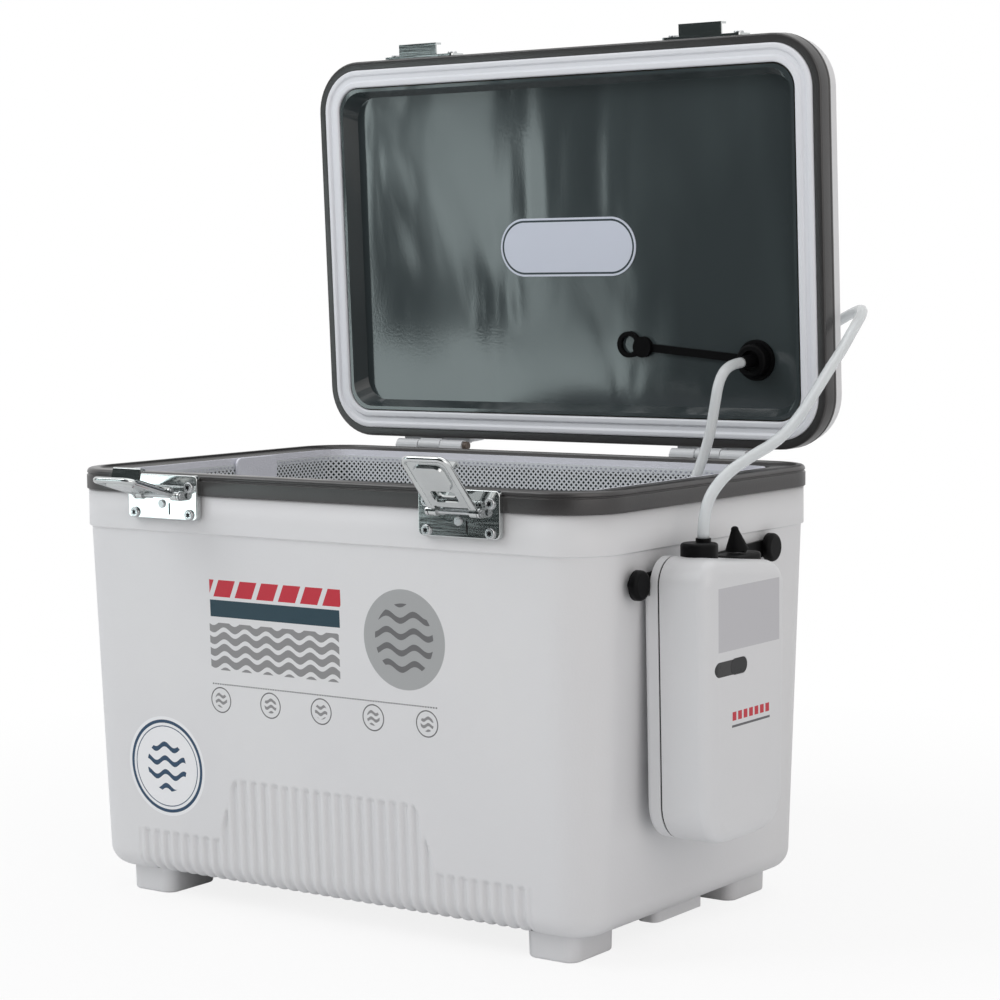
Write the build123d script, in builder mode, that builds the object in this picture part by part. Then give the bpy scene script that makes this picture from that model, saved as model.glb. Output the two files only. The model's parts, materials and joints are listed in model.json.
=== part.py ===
from build123d import *
import os
from math import atan, cos, degrees, pi, radians, sin, tan

# Live bait bucket: an insulated box with a hinged lid, two draw latches, a net bag
# inside, and a battery air pump on its right side whose hose runs through the lid.
# Units are mm. X is to the right, Y to the back, Z up. The origin is on the floor,
# under the middle of the box. The lid is modelled open.

# ---------------------------------------------------------------- driving dimensions
fit_gap = 0.2              # between pieces that are glued, pressed or clipped together
run_gap = 0.4              # between pieces that move past each other
pin_gap = 0.05             # radial play of a pin in a turning knuckle

# box
box_width = 355.0          # outside of the rim, left to right
box_depth = 236.6          # outside of the rim, front to back
corner_radius = 31.0       # vertical corners at the rim
foot_height = 14.0
step_height = 207.9        # moulded step below the rim band
band_height = 20.8         # step to the rim's underside
rim_height = 11.7
band_inset = 1.0           # the band under the rim stands this far inside it
step_inset = 2.5           # top of the tapered wall
base_inset = 9.8           # foot of the tapered wall
base_edge_radius = 12.0
skin = 2.4                 # wall of each moulded skin
wall_width = 20.0          # rim's outside to the box's inside
liner_taper = 4.0          # the liner narrows by this much to its floor
liner_corner = 16.0
floor_thickness = 24.0     # box underside to the top of the liner's floor
rim_edge_radius = 3.0
rim_sheet = 3.0            # top of the rim
seal_groove_depth = 1.4

# ribbed panel on the front
panel_half_width = 134.0
panel_low = 38.5
panel_high = 73.5
panel_top_half = 62.0      # half width of the raised middle at its top
panel_foot_half = 75.0     # and where it meets the low part
panel_radius = 9.0
panel_depth = 1.7
rib_pitch = 7.3
rib_width = 2.6

# feet and pads
foot_length = 40.0
foot_width = 31.0
foot_side_inset = 41.0     # foot's middle inside the rim, at the sides
foot_end_inset = 40.3      # and at the front and back
foot_radius = 7.0
foot_taper = 1.5
foot_edge_radius = 1.5
pad_rise = 6.0            # the middle pads end this far above the floor
pad_width = 12.5
pad_length = 48.0
pad_inset = 29.5           # pad's middle inside the rim

# lid
lid_lean = 2.54            # the open lid leans this many degrees past vertical, to the front
lid_depth = 232.8
lid_band_height = 11.5
lid_height = 26.2
lid_shell_inset = 0.7
lid_shell_draft = 1.5
lid_top_radius = 8.0
gasket_inset = 5.5
gasket_width = 10.7
gasket_groove = 2.5
gasket_proud = 1.0
gasket_round = 0.8
gasket_bead = 3.4
gasket_channel = 0.9
lid_liner_inset = 17.2
lid_liner_depth = 10.5     # recess under the lid
lid_liner_taper = 3.2
lid_liner_corner = 14.0
liner_sheet = 2.0
lid_label_width = 96.5
lid_label_height = 34.7
lid_label_thick = 0.5
label_rise = 116.0         # above the lid's hinge edge

# hinges
hinge_axis_back = 4.1      # behind the rim
hinge_axis_rise = 1.4      # above the rim
hinge_x = 100.0
hinge_length = 50.0
knuckle_radius = 3.2
hinge_pin_radius = 1.5
leaf_thick = 2.5
leaf_drop = 30.0
lid_leaf_length = 21.0
lid_leaf_neck = 6.0
hinge_pin_head = 2.4
hinge_pin_stand = 3.0
hinge_screw_spacing = 36.0

# screws
screw_head_radius = 2.9
screw_head_height = 1.4
screw_radius = 1.5

# latches
latch_x = 100.0
plate_width = 50.5
plate_height = 24.5
plate_top_drop = 0.6       # below the rim's top
plate_stand = 3.2
plate_sheet = 1.2
plate_radius = 3.0
plate_screw_x = 19.8
plate_screw_low = -9.15    # heights on the plate are from its middle
plate_screw_high = 5.75
rivet_rise = -3.75
rivet_radius = 2.3
rivet_shank = 1.2
rivet_head = 1.0
slot_x = 5.2
slot_width = 1.1
slot_height = 6.5
slot_rise = -6.35
pivot_rise = 1.05
pivot_stand = 3.1          # pivot in front of the plate's face
lever_length = 39.5
lever_width = 29.6
lever_sheet = 1.2
lever_bead = 1.6
lever_knuckle = 2.4
lever_pin = 1.2
lever_foot = 4.6           # from the pin to the start of the plate
lever_knuckle_length = 4.4
lever_window_width = 15.0
lever_window_length = 8.0
lever_window_along = 11.4
lever_tip_radius = 6.0
lever_rest = {"left": 16.5, "right": 47.6}   # degrees above horizontal
dish_width = 19.0
dish_length = 17.0
dish_depth = 1.6
dish_from_tip = 14.0
dish_slope = 25.0
ear_thick = 1.2
ear_radius = 2.5
pin_head_radius = 1.9
pin_head_thick = 0.8
claw_length = 24.6
claw_width = 20.0
claw_sheet = 1.2
claw_pivot_along = 3.0     # from the lever's pivot, along the lever
claw_pivot_off = 2.3       # and off its face
claw_knuckle = 1.9
claw_pin = 1.0
claw_pin_head = 1.25
claw_ear_radius = 1.9
claw_bend = 1.0
claw_hook = 7.1
claw_lip = 4.0
claw_window_width = 10.0
claw_window_length = 13.0

# keepers on the lid's front edge
keeper_base_width = 52.0
keeper_hook_width = 28.0
keeper_sheet = 1.2
keeper_from_face = 2.2     # from the lid's mating face to the hook's shelf
keeper_base_height = 13.0
keeper_reach = 8.2
keeper_lip = 5.6
keeper_screw_x = 21.5
keeper_corner = 2.0

# net bag
net_sheet = 1.2
net_floor_gap = 0.6
bag_taper = 8.0
hem_sheet = 1.6
hem_height = 7.0
hem_top_drop = 1.6         # below the rim's top
tab_width = 36.0
tab_height = 14.0
tab_y = 18.0

# pump
pump_stand = 1.8           # pump's back to the step of the wall
pump_thick = 38.2
pump_split = 8.4           # pump's back to its seam
pump_seal_thick = 1.0
pump_seal_inset = 0.6
pump_skin = 2.0
pump_front = -71.5         # Y of the pump's front edge at its top
pump_rear = 9.0
pump_length = 146.5
pump_drop = 1.4            # pump's top below the step
pump_slope = 8.5           # the top falls by this much to the back
pump_low_taper = 3.0       # each edge comes in by this much at the bottom
pump_low_bulge = 1.5
pump_low_radius = 20.0
pump_high_radius = 14.0
pump_front_radius = 8.0
pump_back_radius = 3.0
relief_height = 20.5       # the top of the back is stepped in for the strap
relief_depth = 4.2
outlet_out = 19.4          # from the pump's back
outlet_along = 22.5        # from the pump's front edge
outlet_seat = 10.5         # below the pump's top
outlet_rise = 5.0          # above the pump's top
outlet_radius = 9.5
nozzle_along = 26.5
nozzle_radius = 3.9
nozzle_length = 1.9
nozzle_bore = 1.5
outlet_round = 1.5
switch_out = 20.2          # from the pump's back
switch_along = 22.0        # from the pump's rear edge
switch_base_length = 34.0
switch_base_width = 15.0
switch_seat = 10.0         # below the pump's top
switch_base_drop = 3.5     # its face below the pump's top
toggle_half = 5.0          # half length of the toggle's round pivot
boot_radius = 6.0
boot_height = 13.7
boot_tip_radius = 2.0
boot_swing = 1.6           # the boot's pivot stands this far above its plate
boot_lean = 12.0           # the switch leans this many degrees each way
cell_radius = 12.8
cell_length = 49.0
cell_rise = 12.0           # above the pump's underside
cell_button_radius = 3.0
cell_button_height = 1.5
motor_radius = 10.0
motor_length = 26.0
motor_along = 10.5         # from the pump's rear edge
motor_drop = 56.5          # motor and window below the pump's top
motor_shaft_radius = 1.5
motor_shaft_length = 3.0
diaphragm_size = 20.0
diaphragm_along = 27.5     # from the pump's front edge
window_length = 16.0
window_height = 8.0
window_along = 29.5
window_depth = 0.8

# pump hanger
strap_height = 9.0
strap_thick = 1.8
strap_stand = 1.2          # strap's back to the step of the wall
knob_radius = 7.7
knob_thick = 4.5
knob_stud_radius = 2.5
knob_round = 2.2
knob_front_out = 8.1       # in front of the pump's front edge
knob_front_drop = 15.9     # below the step
knob_rear_out = 44.0       # behind the pump's rear edge
knob_rear_drop = 8.9
clip_width = 24.0
clip_sheet = 1.1
clip_length = 14.0
clip_room = 1.0

# lid grommet, plug and hoses
grommet_x = 127.5
grommet_rise = 50.0
grommet_radius = 9.5
grommet_stand = 8.0
grommet_body_radius = 6.5
grommet_flange = 1.5       # outer flange, on top of the lid
grommet_round = 1.5
grommet_cup_radius = 6.0
grommet_cup_depth = 2.5
connector_radius = 3.6
connector_reach = 10.0
connector_outer_reach = 3.0
hose_radius = 3.0
hose_outer_run = 17.0      # straight runs square to the connector's two ends
hose_inner_run = 13.5
plug_x = 52.0
plug_rise = 57.0
plug_radius = 4.5
plug_rim = 1.6
plug_stand = 1.6
ring_x = 42.4
ring_rise = 58.4
ring_radius = 7.7
ring_wire = 1.3
tether_width = 4.6
tether_thick = 1.8
tether_collar = 2.2
stone_radius = 7.0
stone_length = 30.0
stone_round = 1.5
stone_neck = 3.0
stone_x = 85.0
stone_y = 29.0

# ---------------------------------------------------------------- derived places
half_width = box_width / 2
half_depth = box_depth / 2
rim_bottom = step_height + band_height
rim_top = rim_bottom + rim_height
foot_x = half_width - foot_side_inset
foot_y = half_depth - foot_end_inset
pad_x = half_width - pad_inset
wall_slope = atan((base_inset - step_inset) / (step_height - foot_height))
hinge_y = half_depth + hinge_axis_back
hinge_z = rim_top + hinge_axis_rise
lid_seat = rim_top + run_gap                 # the closed lid's mating face
axis_over_seat = hinge_z - lid_seat
lean = radians(lid_lean)
lid_up = Vector(0, -sin(lean), cos(lean))
lid_out = Vector(0, -cos(lean), -sin(lean))
lid_origin = Vector(0, hinge_y, hinge_z) + lid_up * hinge_axis_back + lid_out * axis_over_seat
lid_face = Plane(origin=lid_origin, x_dir=(1, 0, 0), z_dir=lid_out)
lid_middle = lid_depth / 2
lid_edge = Plane(origin=lid_origin, x_dir=lid_up, z_dir=(1, 0, 0))   # x up the lid, y to its inside
front_wall = Plane(
    origin=(0, step_inset - half_depth, step_height),
    x_dir=(1, 0, 0),
    z_dir=(0, -cos(wall_slope), -sin(wall_slope)),
)
liner_floor = foot_height + floor_thickness
plate_face_y = -half_depth - plate_stand
plate_middle = rim_top - plate_top_drop - plate_height / 2
pivot_y = plate_face_y - pivot_stand
pivot_height = plate_middle + pivot_rise
step_x = half_width - step_inset
pump_back = step_x + pump_stand
pump_face = pump_back + pump_thick
pump_high_front = step_height - pump_drop
pump_high_rear = pump_high_front - pump_slope
pump_low = pump_high_front - pump_length
relief_low = pump_high_front - relief_height
motor_height = pump_high_front - motor_drop
sides = {"left": -1, "right": 1}

def rim_outline(inset, corner):
    """The box's rounded outline, drawn inside the rim's outer edge by the inset."""
    return RectangleRounded(box_width - 2 * inset, box_depth - 2 * inset, corner)


def outer_corner(inset):
    return corner_radius - inset


def wall_inset(height):
    share = (height - foot_height) / (step_height - foot_height)
    return base_inset + (step_inset - base_inset) * share


def liner_inset(height):
    share = (rim_bottom - height) / (rim_bottom - liner_floor)
    return wall_width + liner_taper * share


def lid_outline(inset, corner):
    """The lid's rounded outline on its own plane, inside its edge by the inset."""
    with Locations((0, lid_middle)):
        RectangleRounded(box_width - 2 * inset, lid_depth - 2 * inset, corner)


# ---------------------------------------------------------------- insulated box
os.makedirs("parts", exist_ok=True)

# Outer skin: a tapered tub with a step and a straighter band under the rim.
skin_floor = foot_height + skin
with BuildPart() as outer_shell:
    with BuildSketch(Plane.XY.offset(foot_height)):
        rim_outline(base_inset, outer_corner(base_inset))
    with BuildSketch(Plane.XY.offset(step_height)):
        rim_outline(step_inset, outer_corner(step_inset))
    loft()
    with BuildSketch(Plane.XY.offset(step_height)):
        rim_outline(band_inset, outer_corner(band_inset))
    extrude(amount=rim_bottom - step_height)
    # inside of the skin
    with BuildSketch(Plane.XY.offset(skin_floor)):
        rim_outline(wall_inset(skin_floor) + skin, outer_corner(base_inset + skin))
    with BuildSketch(Plane.XY.offset(step_height + skin)):
        rim_outline(step_inset + skin, outer_corner(step_inset + skin))
    loft(mode=Mode.SUBTRACT)
    flats = outer_shell.faces().filter_by(Plane.XY).sort_by(Axis.Z)
    fillet(flats[1].edges(), base_edge_radius - skin)
    fillet(outer_shell.faces().sort_by(Axis.Z)[0].edges(), base_edge_radius)
    with BuildSketch(Plane.XY.offset(step_height + skin)):
        rim_outline(band_inset + skin, outer_corner(band_inset + skin))
    extrude(amount=rim_bottom - step_height, mode=Mode.SUBTRACT)
    # ribbed panel: everything inside its outline is cut back, except the ribs
    with BuildSketch(front_wall) as panel:
        with BuildLine():
            low = panel_low - step_height
            high = panel_high - step_height
            FilletPolyline(
                (-panel_half_width, -step_height),
                (-panel_half_width, low),
                (-panel_foot_half, low),
                (-panel_top_half, high),
                (panel_top_half, high),
                (panel_foot_half, low),
                (panel_half_width, low),
                (panel_half_width, -step_height),
                radius=panel_radius,
                close=True,
            )
        make_face()
        rib_count = 2 * int(panel_half_width / rib_pitch) + 1
        with Locations((0, high - step_height / 2)):
            with GridLocations(rib_pitch, 0, rib_count, 1):
                Rectangle(rib_width, step_height, mode=Mode.SUBTRACT)
    extrude(amount=-panel_depth, mode=Mode.SUBTRACT)
outer_shell.part.label = "outer_shell"
export_step(outer_shell.part, "parts/outer_shell.step")

# Inner tub: a plain tapered box, open at the top.
with BuildPart() as inner_liner:
    for grow, low, mode in ((skin, liner_floor - skin, Mode.ADD), (0, liner_floor, Mode.SUBTRACT)):
        with BuildSketch(Plane.XY.offset(low)):
            rim_outline(liner_inset(low) - grow, liner_corner + grow)
        with BuildSketch(Plane.XY.offset(rim_bottom - fit_gap)):
            rim_outline(liner_inset(rim_bottom) - grow, liner_corner + grow)
        loft(mode=mode)
inner_liner.part.label = "inner_liner"
export_step(inner_liner.part, "parts/inner_liner.step")

# Dark rim: a moulded channel that caps the wall, with a shallow ledge for the gasket.
with BuildPart() as rim_trim:
    with BuildSketch(Plane.XY.offset(rim_bottom)):
        rim_outline(0, corner_radius)
    extrude(amount=rim_top - rim_bottom)
    fillet(rim_trim.faces().sort_by(Axis.Z)[-1].edges(), rim_edge_radius)
    with BuildSketch(Plane.XY.offset(rim_bottom)):
        rim_outline(wall_width, liner_corner)
    extrude(amount=rim_top - rim_bottom, mode=Mode.SUBTRACT)
    with BuildSketch(Plane.XY.offset(rim_bottom)):
        rim_outline(skin, outer_corner(skin))
        RectangleRounded(
            box_width - 2 * (wall_width - skin),
            box_depth - 2 * (wall_width - skin),
            liner_corner + skin,
            mode=Mode.SUBTRACT,
        )
    extrude(amount=rim_top - rim_bottom - rim_sheet, mode=Mode.SUBTRACT)
    # seat of the gasket: a ledge inside the closed lid's outline, open to the tub
    seat_inset = gasket_inset - 2 * run_gap
    with BuildSketch(Plane.XY.offset(rim_top - seal_groove_depth)):
        with Locations((0, half_depth - lid_depth / 2)):
            RectangleRounded(box_width - 2 * seat_inset, lid_depth - 2 * seat_inset, outer_corner(seat_inset))
    extrude(amount=seal_groove_depth, mode=Mode.SUBTRACT)
rim_trim.part.label = "rim_trim"
export_step(rim_trim.part, "parts/rim_trim.step")

# Foam: fills the space between the two tubs and reaches up into the rim.
foam_base = skin_floor + fit_gap
foam_step = step_height + skin + fit_gap
foam_top = rim_top - rim_sheet - fit_gap
foam_skin = skin + fit_gap
with BuildPart() as foam_core:
    with BuildSketch(Plane.XY.offset(foam_base)):
        rim_outline(wall_inset(foam_base) + foam_skin, outer_corner(base_inset + foam_skin))
    with BuildSketch(Plane.XY.offset(foam_step)):
        rim_outline(step_inset + foam_skin, outer_corner(step_inset + foam_skin))
    loft()
    chamfer(foam_core.faces().sort_by(Axis.Z)[0].edges(), base_edge_radius)
    with BuildSketch(Plane.XY.offset(foam_step)):
        rim_outline(band_inset + foam_skin, outer_corner(band_inset + foam_skin))
    extrude(amount=foam_top - foam_step)
    with BuildSketch(Plane.XY.offset(liner_floor - foam_skin)):
        rim_outline(liner_inset(liner_floor - foam_skin) - foam_skin, liner_corner + foam_skin)
    with BuildSketch(Plane.XY.offset(rim_bottom)):
        rim_outline(wall_width - foam_skin, liner_corner + foam_skin)
    loft(mode=Mode.SUBTRACT)
    with BuildSketch(Plane.XY.offset(rim_bottom)):
        rim_outline(wall_width - foam_skin, liner_corner + foam_skin)
    extrude(amount=foam_top - rim_bottom, mode=Mode.SUBTRACT)
foam_core.part.label = "foam_core"
export_step(foam_core.part, "parts/foam_core.step")

# Feet: four tapered blocks under the corners, and a lower pad under each side.
with BuildPart() as corner_feet:
    with BuildSketch(Plane.XY.offset(foot_height)):
        with GridLocations(2 * foot_x, 2 * foot_y, 2, 2):
            RectangleRounded(foot_width, foot_length, foot_radius)
    extrude(amount=-foot_height, taper=foot_taper)
    fillet(corner_feet.faces().filter_by(Plane.XY).group_by(Axis.Z)[0].edges(), foot_edge_radius)
corner_feet.part.label = "corner_feet"
export_step(corner_feet.part, "parts/corner_feet.step")

with BuildPart() as under_pads:
    with BuildSketch(Plane.XY.offset(foot_height)):
        with GridLocations(2 * pad_x, 0, 2, 1):
            RectangleRounded(pad_width, pad_length, pad_width / 3)
    extrude(amount=pad_rise - foot_height)
under_pads.part.label = "under_pads"
export_step(under_pads.part, "parts/under_pads.step")

# ---------------------------------------------------------------- net bag
net_top = rim_top - hem_top_drop - hem_height
hem_inset = wall_width + fit_gap
bag_inset = hem_inset + hem_sheet + fit_gap
with BuildPart() as net_hem:
    with BuildSketch(Plane.XY.offset(net_top)):
        rim_outline(hem_inset, liner_corner)
        RectangleRounded(
            box_width - 2 * (hem_inset + hem_sheet),
            box_depth - 2 * (hem_inset + hem_sheet),
            liner_corner - hem_sheet,
            mode=Mode.SUBTRACT,
        )
    extrude(amount=hem_height)
net_hem.part.label = "net_hem"
export_step(net_hem.part, "parts/net_hem.step")

bag_floor = liner_floor + net_floor_gap
with BuildPart() as net_bag:
    for grow, low, mode in ((0, bag_floor, Mode.ADD), (net_sheet, bag_floor + net_sheet, Mode.SUBTRACT)):
        with BuildSketch(Plane.XY.offset(low)):
            rim_outline(bag_inset + bag_taper + grow, liner_corner - grow)
        with BuildSketch(Plane.XY.offset(net_top + hem_height / 2)):
            rim_outline(bag_inset + grow, liner_corner - grow)
        loft(mode=mode)
net_bag.part.label = "net_bag"
export_step(net_bag.part, "parts/net_bag.step")

# a soft pull tab sewn to the hem's inner face, at the left
tab_lean = bag_taper * tab_height / (net_top - bag_floor)
tab_x = bag_inset + net_sheet + tab_lean + fit_gap - half_width
with BuildPart() as net_tab:
    with BuildSketch(Plane.YZ.offset(tab_x)):
        with Locations((tab_y, rim_top - hem_top_drop - tab_height / 2)):
            RectangleRounded(tab_width, tab_height, tab_height / 4)
    extrude(amount=hem_sheet)
net_tab.part.label = "net_tab"
export_step(net_tab.part, "parts/net_tab.step")

# ---------------------------------------------------------------- latches
plate_back = Plane(origin=(0, -half_depth, plate_middle), x_dir=(1, 0, 0), z_dir=(0, -1, 0))
screw_spots = [(x, z) for x in (-plate_screw_x, plate_screw_x) for z in (plate_screw_low, plate_screw_high)]
for side, sign in sides.items():
    with BuildPart() as plate:
        with BuildSketch(plate_back):
            with Locations((sign * latch_x, 0)):
                RectangleRounded(plate_width, plate_height, plate_radius)
        extrude(amount=plate_stand)
        fillet(plate.faces().sort_by(Axis.Y)[0].edges(), plate_sheet / 2)
        with BuildSketch(plate_back):
            with Locations((sign * latch_x, 0)):
                RectangleRounded(
                    plate_width - 2 * plate_sheet,
                    plate_height - 2 * plate_sheet,
                    plate_radius - plate_sheet,
                )
        extrude(amount=plate_stand - plate_sheet, mode=Mode.SUBTRACT)
        with BuildSketch(plate_back.offset(plate_stand)):
            with Locations((sign * latch_x, 0)):
                with Locations(*screw_spots):
                    Circle(screw_radius + fit_gap)
                with Locations((0, rivet_rise)):
                    Circle(rivet_shank + fit_gap)
                with Locations((slot_x, slot_rise)):
                    SlotOverall(slot_height, slot_width, rotation=90)
        extrude(amount=-plate_sheet, mode=Mode.SUBTRACT)
        # two ears that carry the lever's pin
        for edge in (-1, 1):
            ear_x = sign * latch_x + edge * (lever_width / 2 + run_gap + ear_thick / 2)
            with BuildSketch(Plane.YZ.offset(ear_x)):
                with Locations(((pivot_y + plate_face_y) / 2, pivot_height)):
                    Rectangle(pivot_stand, 2 * ear_radius)
                with Locations((pivot_y, pivot_height)):
                    Circle(ear_radius)
                    Circle(lever_pin + pin_gap, mode=Mode.SUBTRACT)
            extrude(amount=ear_thick / 2, both=True)
    plate.part.label = side + "_latch_plate"
    export_step(plate.part, "parts/" + side + "_latch_plate.step")

latch_places = [(sign * latch_x, 0) for sign in sides.values()]
with BuildPart() as latch_plate_screws:
    for radius, length in ((screw_head_radius, screw_head_height), (screw_radius, -plate_stand)):
        with BuildSketch(plate_back.offset(plate_stand)):
            with Locations(*latch_places):
                with Locations(*screw_spots):
                    Circle(radius)
        extrude(amount=length)
    heads = latch_plate_screws.edges().filter_by(GeomType.CIRCLE).group_by(Axis.Y)[0]
    fillet(heads, screw_head_height / 2)
latch_plate_screws.part.label = "latch_plate_screws"
export_step(latch_plate_screws.part, "parts/latch_plate_screws.step")

with BuildPart() as latch_plate_rivets:
    for radius, length in ((rivet_radius, rivet_head), (rivet_shank, -plate_stand)):
        with BuildSketch(plate_back.offset(plate_stand)):
            with Locations(*[(x, rivet_rise) for x, _ in latch_places]):
                Circle(radius)
        extrude(amount=length)
    heads = latch_plate_rivets.edges().filter_by(GeomType.CIRCLE).group_by(Axis.Y)[0]
    fillet(heads, rivet_head / 2)
latch_plate_rivets.part.label = "latch_plate_rivets"
export_step(latch_plate_rivets.part, "parts/latch_plate_rivets.step")

# pins: a straight shank with a small head outside each ear
pin_half = lever_width / 2 + run_gap + ear_thick + fit_gap
with BuildPart() as latch_lever_pins:
    for sign in sides.values():
        with BuildSketch(Plane.YZ.offset(sign * latch_x)):
            with Locations((pivot_y, pivot_height)):
                Circle(lever_pin)
        extrude(amount=pin_half + pin_head_thick, both=True)
        for edge in (-1, 1):
            with BuildSketch(Plane.YZ.offset(sign * latch_x + edge * (pin_half + pin_head_thick / 2))):
                with Locations((pivot_y, pivot_height)):
                    Circle(pin_head_radius)
            extrude(amount=pin_head_thick / 2, both=True)
latch_lever_pins.part.label = "latch_lever_pins"
export_step(latch_lever_pins.part, "parts/latch_lever_pins.step")


def lever_frame(side, along=0.0, off=0.0):
    """A lever's plane at rest: x across, y along the lever, z off its outer face."""
    angle = radians(lever_rest[side])
    run = Vector(0, -cos(angle), sin(angle))
    face = Vector(0, sin(angle), cos(angle))
    spot = Vector(sides[side] * latch_x, pivot_y, pivot_height) + run * along + face * off
    return Plane(origin=spot, x_dir=(-1, 0, 0), z_dir=face)


def pin_frame(side, along=0.0, off=0.0):
    """The plane square to a latch pin: x along the lever, y off its outer face."""
    flat = lever_frame(side, along, off)
    return Plane(origin=flat.origin, x_dir=flat.y_dir, z_dir=flat.x_dir)


# Levers: a stamped plate with a rolled bead round its edge, a pressed finger dish,
# two knuckles on the pin and two ears for the claw.
claw_ear_x = claw_width / 2 + run_gap + ear_thick / 2
bead_x = lever_width / 2 - lever_bead
for side in sides:
    flat = lever_frame(side)
    with BuildPart() as lever:
        with BuildSketch(flat.offset(-lever_sheet / 2)):
            with BuildLine():
                FilletPolyline(
                    (-bead_x, lever_foot),
                    (-bead_x, lever_length - lever_bead),
                    (bead_x, lever_length - lever_bead),
                    (bead_x, lever_foot),
                    radius=lever_tip_radius - lever_bead,
                )
                Line((bead_x, lever_foot), (-bead_x, lever_foot))
            make_face()
        extrude(amount=lever_sheet)
        # rolled bead
        with BuildLine(flat) as bead_path:
            FilletPolyline(
                (-bead_x, lever_foot),
                (-bead_x, lever_length - lever_bead),
                (bead_x, lever_length - lever_bead),
                (bead_x, lever_foot),
                radius=lever_tip_radius - lever_bead,
            )
        with BuildSketch(bead_path.line ^ 0):
            Circle(lever_bead)
        sweep(path=bead_path.line)
        # finger dish, pressed to the inner side
        dish_y = lever_length - dish_from_tip
        with BuildSketch(flat.offset(lever_sheet / 2 - dish_depth)):
            with Locations((0, dish_y)):
                RectangleRounded(dish_width, dish_length, dish_width / 4)
        extrude(amount=-lever_sheet, taper=dish_slope)
        with BuildSketch(flat.offset(lever_sheet / 2 - dish_depth)):
            with Locations((0, dish_y)):
                RectangleRounded(dish_width, dish_length, dish_width / 4)
        extrude(amount=dish_depth - lever_sheet)
        with BuildSketch(flat.offset(lever_sheet / 2)):
            with Locations((0, dish_y)):
                RectangleRounded(dish_width - lever_sheet, dish_length - lever_sheet, dish_width / 4)
        extrude(amount=-dish_depth, mode=Mode.SUBTRACT)
        # window over the claw
        with BuildSketch(flat):
            with Locations((0, lever_window_along)):
                RectangleRounded(lever_window_width, lever_window_length, lever_window_length / 4)
        extrude(amount=lever_sheet, both=True, mode=Mode.SUBTRACT)
        # knuckles round the pin, joined to the plate
        for edge in (-1, 1):
            with BuildSketch(pin_frame(side).offset(edge * (lever_width - lever_knuckle_length) / 2)):
                Circle(lever_knuckle)
                with Locations((lever_foot / 2, 0)):
                    Rectangle(lever_foot, lever_sheet)
            extrude(amount=lever_knuckle_length / 2, both=True)
        # ears for the claw's pin
        for edge in (-1, 1):
            with BuildSketch(pin_frame(side, claw_pivot_along).offset(edge * claw_ear_x)):
                with Locations((0, claw_pivot_off / 2)):
                    Rectangle(2 * claw_ear_radius, claw_pivot_off)
                with Locations((0, claw_pivot_off)):
                    Circle(claw_ear_radius)
                    Circle(claw_pin + pin_gap, mode=Mode.SUBTRACT)
            extrude(amount=ear_thick / 2, both=True)
        with BuildSketch(pin_frame(side)):
            Circle(lever_pin + pin_gap)
        extrude(amount=lever_width, both=True, mode=Mode.SUBTRACT)
    lever.part.label = side + "_lever"
    export_step(lever.part, "parts/" + side + "_lever.step")

# Claws: a bent strip on its own pin, with a window, a hook and a short lip at its end.
claw_pin_half = claw_ear_x + ear_thick / 2 + fit_gap
for side in sides:
    pivot = pin_frame(side, claw_pivot_along, claw_pivot_off)
    with BuildPart() as claw:
        with BuildSketch(pivot):
            Circle(claw_knuckle)
            with BuildLine():
                Polyline(
                    (0, -claw_sheet / 2),
                    (claw_length, -claw_sheet / 2),
                    (claw_length, claw_hook),
                    (claw_length - claw_lip, claw_hook),
                    (claw_length - claw_lip, claw_hook - claw_sheet),
                    (claw_length - claw_sheet, claw_hook - claw_sheet),
                    (claw_length - claw_sheet, claw_sheet / 2),
                    (0, claw_sheet / 2),
                    close=True,
                )
            make_face()
            Circle(claw_pin + pin_gap, mode=Mode.SUBTRACT)
        extrude(amount=claw_width / 2, both=True)
        tip = pivot.origin + pivot.x_dir * claw_length
        bends = claw.edges().filter_by(Axis.X).sort_by_distance(tip)
        fillet(bends[0], claw_bend)
        fillet(claw.edges().filter_by(Axis.X).sort_by_distance(tip + pivot.y_dir * claw_hook)[0], claw_bend)
        window = lever_frame(side, claw_pivot_along, claw_pivot_off + claw_sheet)
        with BuildSketch(window):
            with Locations((0, claw_length / 2)):
                RectangleRounded(claw_window_width, claw_window_length, claw_window_width / 4)
        extrude(amount=-2 * claw_sheet, mode=Mode.SUBTRACT)
    claw.part.label = side + "_claw"
    export_step(claw.part, "parts/" + side + "_claw.step")

    with BuildPart() as claw_rod:
        with BuildSketch(pivot):
            Circle(claw_pin)
        extrude(amount=claw_pin_half + pin_head_thick, both=True)
        for edge in (-1, 1):
            with BuildSketch(pivot.offset(edge * (claw_pin_half + pin_head_thick / 2))):
                Circle(claw_pin_head)
            extrude(amount=pin_head_thick / 2, both=True)
    claw_rod.part.label = side + "_claw_pin"
    export_step(claw_rod.part, "parts/" + side + "_claw_pin.step")

# ---------------------------------------------------------------- lid
# Lid sketches lie on the lid's mating face: y up the lid, z toward the box's front.
with BuildPart() as lid_band:
    with BuildSketch(lid_face):
        lid_outline(0, corner_radius)
    extrude(amount=-lid_band_height)
    with BuildSketch(lid_face):
        lid_outline(lid_liner_inset - 2 * fit_gap, lid_liner_corner)
    extrude(amount=-lid_band_height, mode=Mode.SUBTRACT)
    # seat of the gasket, open to the inside
    with BuildSketch(lid_face):
        lid_outline(gasket_inset - fit_gap, outer_corner(gasket_inset))
    extrude(amount=-gasket_groove, mode=Mode.SUBTRACT)
lid_band.part.label = "lid_band"
export_step(lid_band.part, "parts/lid_band.step")

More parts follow.
